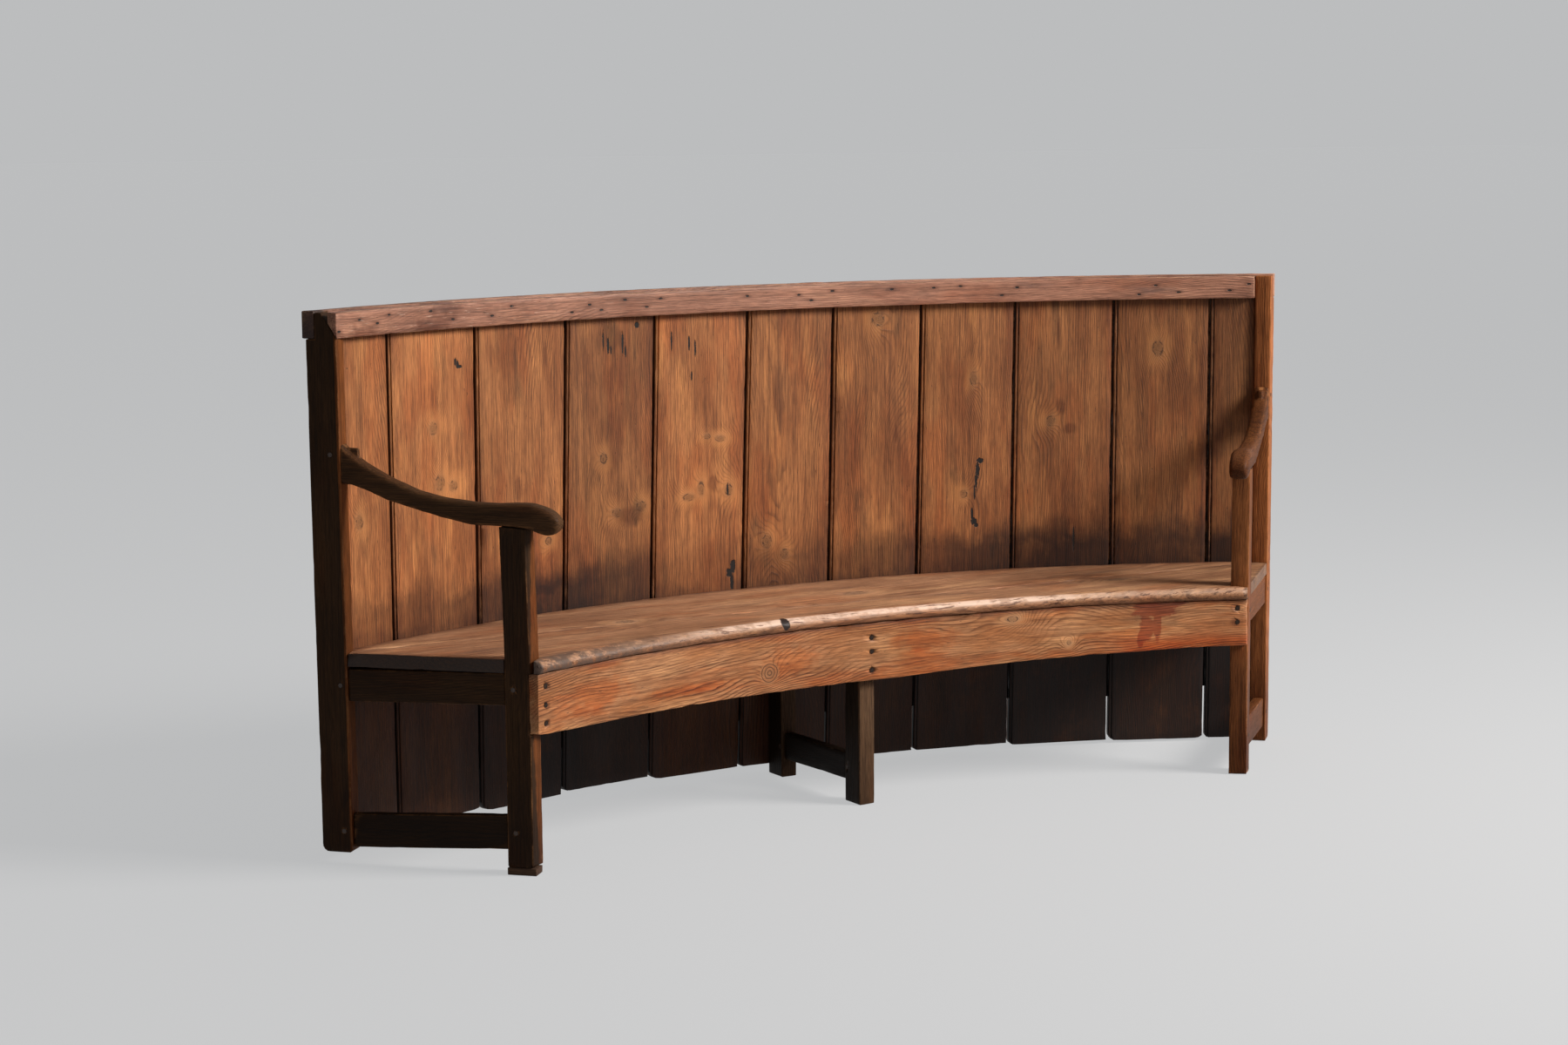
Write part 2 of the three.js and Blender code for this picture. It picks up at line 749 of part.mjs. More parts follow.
const middleRails = [
  {
    name: "middle_seat_rail",
    top: middleTop,
    height: middleRailHeight,
    thickness: middleRailThickness,
    slope: 0,
  },
  {
    name: "middle_stretcher",
    top: stretcherFrontTop,
    height: stretcherHeight,
    thickness: stretcherThickness,
    slope: stretcherSlope,
  },
];
const middlePegPlaces = middleRails.flatMap((rail) => middlePegs(rail.top, rail.height, rail.slope));
const middlePegHoles = middlePegPlaces.map((place) => peg(place, [-overrun, overrun], jointGap));
const middleMortises = middleRails.map(
  (rail) => middleRail(rail.top, rail.height, rail.thickness, rail.slope, jointGap).tenon,
);
const railSeat = into(middle, backRailBody(jointGap));

const frontLegBlank = plate(
  outline([
    [-middleLegDepth, 0],
    [0, 0],
    [0, middleTop],
    [-middleLegDepth, middleTop],
  ]),
  -middleHalf,
  middleHalf,
);
const middleHoles = nailHoles.map((hole) => into(middle, hole));
const middleFrontLeg = cut(
  frontLegBlank,
  into(middle, apronSeat),
  ...middleMortises,
  ...middlePegHoles,
  ...middleHoles,
);
piece("middle_front_leg", middleFrontLeg, frameWood, middle);

const rearLegBlank = block(rearLegX, [-middleHalf, middleHalf], [0, middleTop]);
const middleRearLeg = cut(rearLegBlank, railSeat, ...middleMortises, ...middlePegHoles);
piece("middle_rear_leg", middleRearLeg, frameWood, middle);

for (const rail of middleRails) {
  const { body, tenon } = middleRail(rail.top, rail.height, rail.thickness, rail.slope, 0);
  piece(rail.name, cut(join(body, tenon), ...middlePegHoles), frameWood, middle);
}
middlePegPlaces.forEach((place, i) => {
  const end = i % 2 ? "front" : "rear";
  const rail = i < 2 ? "seat_rail" : "stretcher";
  piece(`middle_${rail}_${end}_peg`, peg(place, [-middleHalf, middleHalf]), frameWood, middle);
});

// Back boards, each a flat plank with a bead along its left edge, drawn in its own plane
boards.forEach(({ topLeft, topRight, footLeft, footRight, facing, face }, i) => {
  const footZ = boardFootRise * boardFootShares[i];
  const topZ = benchHeight - boardTopDrop;
  const corner = boardCornerRound * boardCornerShares[i];

  const levels = [
    { z: 0, left: footLeft, right: footRight },
    { z: topZ, left: topLeft, right: topRight },
  ];
  const rings = levels.map(({ z, left, right }) => {
    const l = backRadius * Math.sin(left - facing) + boardGap / 2;
    const r = backRadius * Math.sin(right - facing) - boardGap / 2;
    const bead = [4, 3, 2, 1, 0].map((k) => {
      const turn = (k * Math.PI) / 4;
      return [l + beadRadius * (1 + Math.cos(turn)), beadRadius * (1 - Math.sin(turn))];
    });
    const section = [
      [l, boardThickness],
      ...bead,
      [l + 2 * beadRadius + quirkWidth, quirkDepth],
      [l + 2 * beadRadius + quirkWidth, 0],
      [r, 0],
      [r, boardThickness],
    ];
    return section.map(([x, y]) => new THREE.Vector3(x, y, z));
  });
  const left = Math.min(...rings.map((ring) => ring[0].x));
  const right = Math.max(...rings.map((ring) => ring[ring.length - 1].x));
  const worn = new THREE.Shape();
  worn.moveTo(left, footZ + corner);
  worn.quadraticCurveTo(left, footZ, left + corner, footZ);
  worn.lineTo(right - corner, footZ);
  worn.quadraticCurveTo(right, footZ, right, footZ + corner);
  worn.lineTo(right, benchHeight + overrun);
  worn.lineTo(left, benchHeight + overrun);
  const board = new THREE.Group();
  board.rotation.z = -facing;
  board.position.set(face * Math.sin(facing), face * Math.cos(facing), 0);
  bench.add(board);
  board.updateMatrixWorld(true);
  let plank = common(loft(rings), plate(worn, -overrun, overrun));
  if (i === 0) plank = cut(plank, into(board, outsideOf(leftEnd, postThickness + jointGap)));
  if (i === boards.length - 1) plank = cut(plank, into(board, outsideOf(rightEnd, postThickness + jointGap)));
  piece("back_board_" + String(i + 1).padStart(2, "0"), plank, boardWood, board);
});

// Top rails
const bevelFoot = benchHeight - postChamferDrop + jointGap;
const belowLeftBevel = plate(
  outline([
    [-overrun, -overrun],
    [overrun, -overrun],
    [overrun, bevelFoot],
    [postFront(bevelFoot) + jointGap, bevelFoot],
    [postFront(benchHeight) - postChamfer + jointGap, benchHeight + jointGap],
    [-overrun, benchHeight + jointGap],
  ]),
  -overrun,
  postThickness + jointGap,
);
const besideRightPost = outsideOf(rightEnd, postThickness + jointGap);
const outsideBench = [outsideOf(leftEnd, 0), outsideOf(rightEnd, 0)];
const frontRailEnds = [outOf(leftEnd, belowLeftBevel), outsideBench[0], besideRightPost];
piece("front_top_rail", cut(frontTopRailBody(), ...frontRailEnds), boardWood);
piece("rear_top_rail", cut(rearTopRailBody(0), ...outsideBench), boardWood);

// Seat boards, notched round the posts and the front legs
const seatNotches = [leftEnd, rightEnd].flatMap((frame) => {
  const hand = frame === leftEnd ? (geometry) => geometry : mirrored;
  const tall = [-overrun, benchHeight + overrun];
  const postX = [-overrun, postFront(seatHeight) + jointGap];
  const post = block(postX, [-overrun, postThickness + jointGap], tall);
  const leg = block(
    [legSetForward - jointGap, legFront + legFrontBevel + jointGap],
    [-overrun, legThickness + jointGap],
    tall,
  );
  return [outOf(frame, hand(post)), outOf(frame, hand(leg)), outsideOf(frame, 0)];
});
const behindBoards = sweep(
  [
    [boardFace, -overrun],
    [boardFace + overrun, -overrun],
    [boardFace + overrun, benchHeight],
    [boardFace, benchHeight],
  ],
  -topRailSpan,
  topRailSpan,
  curveSteps,
);
piece("seat_front_board", cut(seatFrontBody, behindBoards, ...seatNotches), seatWood);
piece("seat_rear_board", cut(seatRearBody(), ...betweenPosts), seatWood);

// Apron across the three front legs
const apronEnds = [outsideOf(leftEnd, apronEndInset), outsideOf(rightEnd, apronEndInset)];
piece("apron", cut(apronBody(0, 0), ...apronEnds, ...nailHoles), apronWood);
for (const { name, holder } of nails) piece(name, nailBody(0), nailIron, holder);

// The origin goes to the middle of the footprint
const footprint = new THREE.Box3().setFromObject(bench).getCenter(new THREE.Vector3());
bench.position.set(-footprint.x, -footprint.y, 0);

const model = new THREE.Group();
model.add(bench);
export default model;
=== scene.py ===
import math
import bmesh
import bpy
from mathutils import Matrix, Vector, noise


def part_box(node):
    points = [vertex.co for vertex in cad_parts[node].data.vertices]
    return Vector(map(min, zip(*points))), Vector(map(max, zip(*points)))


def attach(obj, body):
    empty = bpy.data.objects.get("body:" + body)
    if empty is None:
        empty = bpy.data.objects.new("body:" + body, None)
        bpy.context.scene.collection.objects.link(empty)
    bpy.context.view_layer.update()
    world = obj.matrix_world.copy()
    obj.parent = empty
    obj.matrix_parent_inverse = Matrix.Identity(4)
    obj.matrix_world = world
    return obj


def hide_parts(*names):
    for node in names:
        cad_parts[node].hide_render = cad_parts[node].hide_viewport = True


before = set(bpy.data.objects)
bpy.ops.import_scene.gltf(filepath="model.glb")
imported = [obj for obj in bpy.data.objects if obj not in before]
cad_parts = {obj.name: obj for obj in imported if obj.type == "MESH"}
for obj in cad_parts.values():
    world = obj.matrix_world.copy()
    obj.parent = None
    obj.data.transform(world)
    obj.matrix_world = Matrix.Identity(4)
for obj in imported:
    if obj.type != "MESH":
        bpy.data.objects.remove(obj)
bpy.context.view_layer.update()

# Back boards: eleven upright boards of waxed pine 24 mm thick, planed by hand, each with a bead run
# down its left edge. They stand in a curve, nailed to rails in front and behind, with shrinkage
# gaps between them.
back_centre = Vector((0.0, -2.2681, 0.0))
back_radius = 2.586
seat_top = 0.46


def sawn(node, ease, cuts, arris_angle=35.0):
    """A copy of a CAD piece as one closed mesh, its long arrises eased and its faces cut up."""
    shortest = 0.012
    wood = bmesh.new()
    wood.from_mesh(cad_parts[node].data)
    bmesh.ops.remove_doubles(wood, verts=wood.verts, dist=0.00004)
    bmesh.ops.dissolve_limit(wood, angle_limit=0.004, verts=wood.verts, edges=wood.edges)
    if ease:
        arrises = [
            edge
            for edge in wood.edges
            if edge.is_manifold
            and edge.is_convex
            and edge.calc_length() > shortest
            and math.degrees(edge.calc_face_angle()) > arris_angle
        ]
        bmesh.ops.bevel(
            wood, geom=arrises, offset=ease, affect="EDGES", segments=2, profile=0.5, material=-1
        )
    for direction, pitch in cuts:
        reach = [vert.co.dot(direction) for vert in wood.verts]
        low, high = min(reach), max(reach)
        count = max(1, round((high - low) / pitch))
        for k in range(1, count):
            everything = wood.verts[:] + wood.edges[:] + wood.faces[:]
            at = direction * (low + (high - low) * k / count)
            bmesh.ops.bisect_plane(
                wood, geom=everything, dist=0.00001, plane_co=at, plane_no=direction
            )
    return wood


def weathered(wood, sink, chip, seed):
    """Lets the faces dip a little and wears the arrises back, always inwards, so no size grows."""
    wood.normal_update()
    low = [min(vert.co[axis] for vert in wood.verts) for axis in range(3)]
    high = [max(vert.co[axis] for vert in wood.verts) for axis in range(3)]
    moves = []
    for vert in wood.verts:
        bend = max((edge.calc_face_angle(0.0) for edge in vert.link_edges), default=0.0)
        place = vert.co * 9.0 + Vector((seed * 3.7, seed * 1.3, seed * 2.1))
        dip = sink * (0.5 + 0.5 * noise.noise(place))
        if bend > 0.15:
            bite = noise.noise(place * 3.1) + 0.35 * noise.noise(place * 11.0)
            dip += chip * max(0.0, bite) ** 1.5
        moves.append(vert.normal * -dip)
    for vert, move in zip(wood.verts, moves):
        worn_to = vert.co + move
        vert.co = [min(max(worn_to[axis], low[axis]), high[axis]) for axis in range(3)]


def straight_grain(origin, along, across):
    """Grain coordinates of a straight piece: metres along the grain, across it and through it."""
    through = along.cross(across)

    def place(co):
        inside = co - origin
        return Vector((inside.dot(along), inside.dot(across), inside.dot(through)))

    return place


def bent_grain(centre, radius):
    """Grain coordinates of a piece bent to a curve: metres round the curve, up, and outwards."""

    def place(co):
        flat = co - centre
        outwards = math.hypot(flat.x, flat.y) - radius
        return Vector((radius * math.atan2(flat.x, flat.y), co.z, outwards))

    return place


def made(wood, name, node, material, grain, seed, tone=1.0):
    """The finished wooden piece: mesh, grain coordinates, worn arrises, finish and place."""
    bmesh.ops.recalc_face_normals(wood, faces=wood.faces)
    worn = []
    for vert in wood.verts:
        arrises = [edge for edge in vert.link_edges if edge.calc_length() > 0.006]
        bend = max((edge.calc_face_angle(0.0) for edge in arrises), default=0.0)
        worn.append(min(1.0, max(0.0, (bend - 0.1) / 0.5)))
    mesh = bpy.data.meshes.new(name)
    wood.to_mesh(mesh)
    wood.free()
    along = mesh.attributes.new("grain", "FLOAT_VECTOR", "POINT")
    along.data.foreach_set("vector", [axis for vert in mesh.vertices for axis in grain(vert.co)])
    paled = mesh.attributes.new("worn", "FLOAT", "POINT")
    paled.data.foreach_set("value", worn)
    for label, value in (("seed", seed), ("tone", tone)):
        same = mesh.attributes.new(label, "FLOAT", "POINT")
        same.data.foreach_set("value", [value] * len(mesh.vertices))
    mesh.polygons.foreach_set("use_smooth", [True] * len(mesh.polygons))
    mesh.set_sharp_from_angle(angle=math.radians(38))
    mesh.materials.append(material)
    piece = bpy.data.objects.new(name, mesh)
    bpy.context.scene.collection.objects.link(piece)
    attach(piece, "root")
    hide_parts(node)
    return piece


def step(tree, kind, feeds, **settings):
    """One node with its settings, its sockets fed by other sockets or by plain values."""
    new = tree.nodes.new(kind)
    for key, value in settings.items():
        setattr(new, key, value)
    for socket, value in feeds.items():
        if isinstance(value, bpy.types.NodeSocket):
            tree.links.new(value, new.inputs[socket])
        else:
            new.inputs[socket].default_value = value
    return new


def calc(tree, operation, first, second=0.0, third=0.0):
    feeds = {0: first, 1: second, 2: third}
    return step(tree, "ShaderNodeMath", feeds, operation=operation).outputs[0]


def times(tree, first, second):
    return calc(tree, "MULTIPLY", first, second)


def plus(tree, first, second):
    return calc(tree, "ADD", first, second)


def minus(tree, first, second):
    return calc(tree, "SUBTRACT", first, second)


def swing(tree, value, reach, base):
    """The value stretched to a reach and set on a base."""
    return calc(tree, "MULTIPLY_ADD", value, reach, base)


def scaled(tree, vector, factors):
    feeds = {0: vector, 1: factors}
    return step(tree, "ShaderNodeVectorMath", feeds, operation="MULTIPLY").outputs[0]


def cloud(tree, vector, scale, detail=3.0, roughness=0.55):
    feeds = {"Vector": vector, "Scale": scale, "Detail": detail, "Roughness": roughness}
    return step(tree, "ShaderNodeTexNoise", feeds).outputs["Fac"]


def ease_in(tree, value, low, high, bottom=0.0, top=1.0):
    """A smooth step from bottom to top while value goes from low to high."""
    feeds = {"Value": value, "From Min": low, "From Max": high, "To Min": bottom, "To Max": top}
    return step(tree, "ShaderNodeMapRange", feeds, interpolation_type="SMOOTHSTEP").outputs[0]


def between(tree, value, start, full, fading, end):
    """Comes in from start to full, and goes out again from fading to end."""
    coming = ease_in(tree, value, start, full)
    return times(tree, coming, ease_in(tree, value, fading, end, 1.0, 0.0))


def frayed(tree, value, amount, vector, scale, detail):
    """The value with an uneven edge, blown to and fro by a cloud."""
    blown = cloud(tree, vector, scale, detail)
    return plus(tree, value, swing(tree, blown, amount, amount * -0.5))


def grey(tree, level):
    levels = {"Red": level, "Green": level, "Blue": level}
    return step(tree, "ShaderNodeCombineColor", levels).outputs[0]


def tint(tree, amount, under, over, blend="MIX"):
    feeds = {0: amount, 6: under, 7: over}
    return step(tree, "ShaderNodeMix", feeds, data_type="RGBA", blend_type=blend).outputs[2]


def stained(tree, amount, colour, stain):
    """The colour as it shows through a stain."""
    return tint(tree, amount, colour, (*stain, 1.0), "MULTIPLY")


def distance(tree, first, second):
    """The distance that two lengths at right angles to each other make."""
    squares = (calc(tree, "POWER", length, 2.0) for length in (first, second))
    return calc(tree, "SQRT", plus(tree, *squares))


def near(tree, place, centre, size):
    """Distance from a spot, in units of the spot's own size along and across the grain."""
    offset = {0: place, 1: (centre[0], centre[1], 0.0)}
    offset = step(tree, "ShaderNodeVectorMath", offset, operation="SUBTRACT").outputs[0]
    flat = scaled(tree, offset, (1.0 / size[0], 1.0 / size[1], 0.0))
    return step(tree, "ShaderNodeVectorMath", {0: flat}, operation="LENGTH").outputs["Value"]


def nearest(tree, place, spots):
    """The least of the distances from several spots."""
    least = None
    for centre, size in spots:
        far = near(tree, place, centre, size)
        least = far if least is None else calc(tree, "MINIMUM", least, far)
    return least


def ease_straight(tree, value, low, high):
    feeds = {"Value": value, "From Min": low, "From Max": high}
    return step(tree, "ShaderNodeMapRange", feeds).outputs[0]


def profile(tree, value, low, high, stops):
    """A value that follows a curve of stops while another value goes from low to high."""
    ramp = step(tree, "ShaderNodeValToRGB", {"Fac": ease_straight(tree, value, low, high)})
    ramp.color_ramp.interpolation = "EASE"
    first, last = ramp.color_ramp.elements
    first.position, last.position = 0.0, 1.0
    for at, level in stops:
        share = (at - low) / (high - low)
        if share <= 0.0:
            stop = first
        elif share >= 1.0:
            stop = last
        else:
            stop = ramp.color_ramp.elements.new(share)
        stop.color = (level, level, level, 1.0)
    return ramp.outputs["Color"]


def old_pine(
    name,
    pale,
    brown,
    dark,
    ring,
    line,
    knots=(),
    soil_and_light=None,
    shine=0.5,
    rub=None,
    wander=0.34,
    drifts=1.0,
    gloss=0.3,
):
    """Waxed old pine: growth rings cut lengthways, fibre, drifting colour, knots and wear."""
    material = bpy.data.materials.new(name)
    material.use_nodes = True
    tree = material.node_tree
    shader = tree.nodes["Principled BSDF"]
    grain = step(tree, "ShaderNodeAttribute", {}, attribute_name="grain").outputs["Vector"]
    seed = step(tree, "ShaderNodeAttribute", {}, attribute_name="seed").outputs["Fac"]
    worn = step(tree, "ShaderNodeAttribute", {}, attribute_name="worn").outputs["Fac"]
    tone = step(tree, "ShaderNodeAttribute", {}, attribute_name="tone").outputs["Fac"]
    _, across, through = step(tree, "ShaderNodeSeparateXYZ", {"Vector": grain}).outputs
    apart = {"X": times(tree, seed, 13.7), "Y": times(tree, seed, 5.3), "Z": seed}
    shift = step(tree, "ShaderNodeCombineXYZ", apart).outputs[0]
    place = step(tree, "ShaderNodeVectorMath", {0: grain, 1: shift}, operation="ADD").outputs[0]

    drift = {"Vector": scaled(tree, place, (1.0, 2.4, 2.4)), "Scale": 1.0, "Detail": 2.0}
    drift = step(tree, "ShaderNodeTexNoise", drift).outputs["Color"]
    drift = step(tree, "ShaderNodeSeparateColor", {"Color": drift}).outputs
    side = plus(tree, across, swing(tree, drift[0], wander, wander * -0.5))
    depth = plus(tree, through, swing(tree, drift[1], wander * 0.6, 0.01))
    reach = distance(tree, side, depth)
    ripple = cloud(tree, scaled(tree, place, (8.0, 42.0, 42.0)), 1.0, 3.0)
    reach = plus(tree, reach, times(tree, ripple, ring * 1.5))
    knot_near = None
    if knots:
        knot_near = nearest(tree, grain, knots)
        swell = calc(tree, "POWER", 2.718, times(tree, knot_near, -0.42))
        reach = plus(tree, reach, times(tree, swell, 0.05))
    turn = calc(tree, "FRACT", calc(tree, "DIVIDE", reach, ring))
    late = between(tree, turn, 0.42, 0.86, 0.88, 1.0)
    fade = cloud(tree, scaled(tree, place, (1.5, 22.0, 22.0)), 1.0, 3.0)
    fade = ease_in(tree, fade, 0.34, 0.66, 0.15, 1.0)
    if knots:
        fade = calc(tree, "MAXIMUM", fade, ease_in(tree, knot_near, 1.5, 6.0, 1.0, 0.0))
    late = times(tree, late, fade)

    blotch = cloud(tree, scaled(tree, place, (3.2, 10.0, 10.0)), 1.0, 4.0, 0.6)
    amber = cloud(tree, scaled(tree, place, (3.0, 13.0, 13.0)), 1.0, 3.0)
    rust = cloud(tree, scaled(tree, place, (3.4, 11.0, 11.0)), 1.0, 3.0)
    smudge = cloud(tree, scaled(tree, place, (3.4, 15.0, 15.0)), 1.1, 5.0, 0.62)
    streak = cloud(tree, scaled(tree, place, (4.0, 230.0, 230.0)), 1.0, 4.0, 0.65)
    fibre = cloud(tree, scaled(tree, place, (26.0, 520.0, 520.0)), 1.0, 3.0, 0.65)
    amber_colour = (pale[0] * 1.3, pale[1] * 1.36, pale[2] * 1.3, 1.0)
    smoke = (brown[0] * 0.42, brown[1] * 0.55, brown[2] * 0.75, 1.0)
    browned = ease_in(tree, blotch, 0.34, 0.66, 0.5 - 0.5 * drifts, 0.5 + 0.5 * drifts)
    colour = tint(tree, browned, pale, brown)
    colour = tint(tree, ease_in(tree, amber, 0.52, 0.7, 0.0, 0.75 * drifts), colour, amber_colour)
    colour = stained(tree, ease_in(tree, rust, 0.5, 0.68, 0.0, 0.5), colour, (0.95, 0.66, 0.5))
    colour = tint(tree, ease_in(tree, smudge, 0.56, 0.74, 0.0, 0.7 * drifts), colour, smoke)
    colour = tint(tree, ease_in(tree, streak, 0.44, 0.66, 0.0, 0.5), colour, dark)
    colour = tint(tree, times(tree, late, line), colour, dark)
    fleck = ease_in(tree, fibre, 0.34, 0.68, 1.2, 0.66)
    colour = tint(tree, 1.0, colour, grey(tree, fleck), "MULTIPLY")
    pits = cloud(tree, scaled(tree, place, (60.0, 330.0, 330.0)), 1.0, 2.0)
    pits = ease_in(tree, pits, 0.68, 0.76)
    worm = step(tree, "ShaderNodeTexVoronoi", {"Vector": place, "Scale": 17.0})
    lone = step(tree, "ShaderNodeSeparateColor", {"Color": worm.outputs["Color"]}).outputs[0]
    bored = ease_in(tree, worm.outputs["Distance"], 0.022, 0.034, 1.0, 0.0)
    bored = times(tree, bored, ease_in(tree, lone, 0.7, 0.72))
    pits = calc(tree, "MAXIMUM", pits, bored)
    colour = tint(tree, times(tree, pits, 0.75), colour, (0.022, 0.011, 0.006, 1.0))
    dents = times(tree, pits, -1.0)
    if knots:
        wobble = swing(tree, cloud(tree, grain, 60.0, 3.0, 0.6), 1.4, -0.7)
        around = plus(tree, knot_near, wobble)
        glow = ease_in(tree, around, 1.0, 4.5, 0.6, 0.0)
        glow = times(tree, glow, ease_in(tree, amber, 0.36, 0.56))
        colour = tint(tree, glow, colour, amber_colour)
        halo = ease_in(tree, around, 1.0, 2.1, 0.4, 0.0)
        colour = tint(tree, halo, colour, (pale[0] * 0.7, pale[1] * 0.8, pale[2] * 0.95, 1.0))
        heart = calc(tree, "FRACT", times(tree, around, 2.3))
        core = ease_in(tree, around, 0.5, 1.1, 0.75, 0.0)
        core = times(tree, core, swing(tree, heart, 0.5, 0.5))
        colour = tint(tree, core, colour, (brown[0] * 0.6, brown[1] * 0.78, brown[2] * 0.95, 1.0))
        bark = between(tree, around, 0.75, 0.98, 1.02, 1.3)
        bark = times(tree, bark, ease_in(tree, cloud(tree, grain, 60.0, 2.0), 0.42, 0.56))
        colour = tint(tree, times(tree, bark, 0.8), colour, (0.035, 0.016, 0.009, 1.0))
        split = cloud(tree, scaled(tree, grain, (90.0, 210.0, 210.0)), 1.0, 3.0, 0.7)
        split = ease_in(tree, split, 0.6, 0.66)
        split = times(tree, ease_in(tree, around, 0.1, 1.3, 1.0, 0.0), split)
        colour = tint(tree, times(tree, split, 0.8), colour, (0.03, 0.015, 0.01, 1.0))
        dents = minus(tree, dents, split)
    colour = tint(tree, 1.0, colour, grey(tree, tone), "MULTIPLY")
    if soil_and_light:
        colour, dents = soil_and_light(tree, colour, dents, grain, place)
    if rub:
        arris = calc(tree, "POWER", worn, 4.0)
        bare = times(tree, arris, ease_in(tree, cloud(tree, place, 24.0, 4.0, 0.65), 0.4, 0.64))
        colour = tint(tree, times(tree, bare, 0.7), colour, rub)
    tree.links.new(colour, shader.inputs["Base Color"])
    satin = swing(tree, smudge, 0.3, shine - 0.12)
    satin = swing(tree, fibre, 0.12, satin)
    tree.links.new(satin, shader.inputs["Roughness"])
    height = swing(tree, late, 0.4, times(tree, fibre, 0.3))
    feeds = {"Height": plus(tree, height, dents), "Strength": 0.5, "Distance": 0.0012}
    tree.links.new(step(tree, "ShaderNodeBump", feeds).outputs[0], shader.inputs["Normal"])
    shader.inputs["IOR"].default_value = 1.45
    shader.inputs["Specular IOR Level"].default_value = gloss
    return material


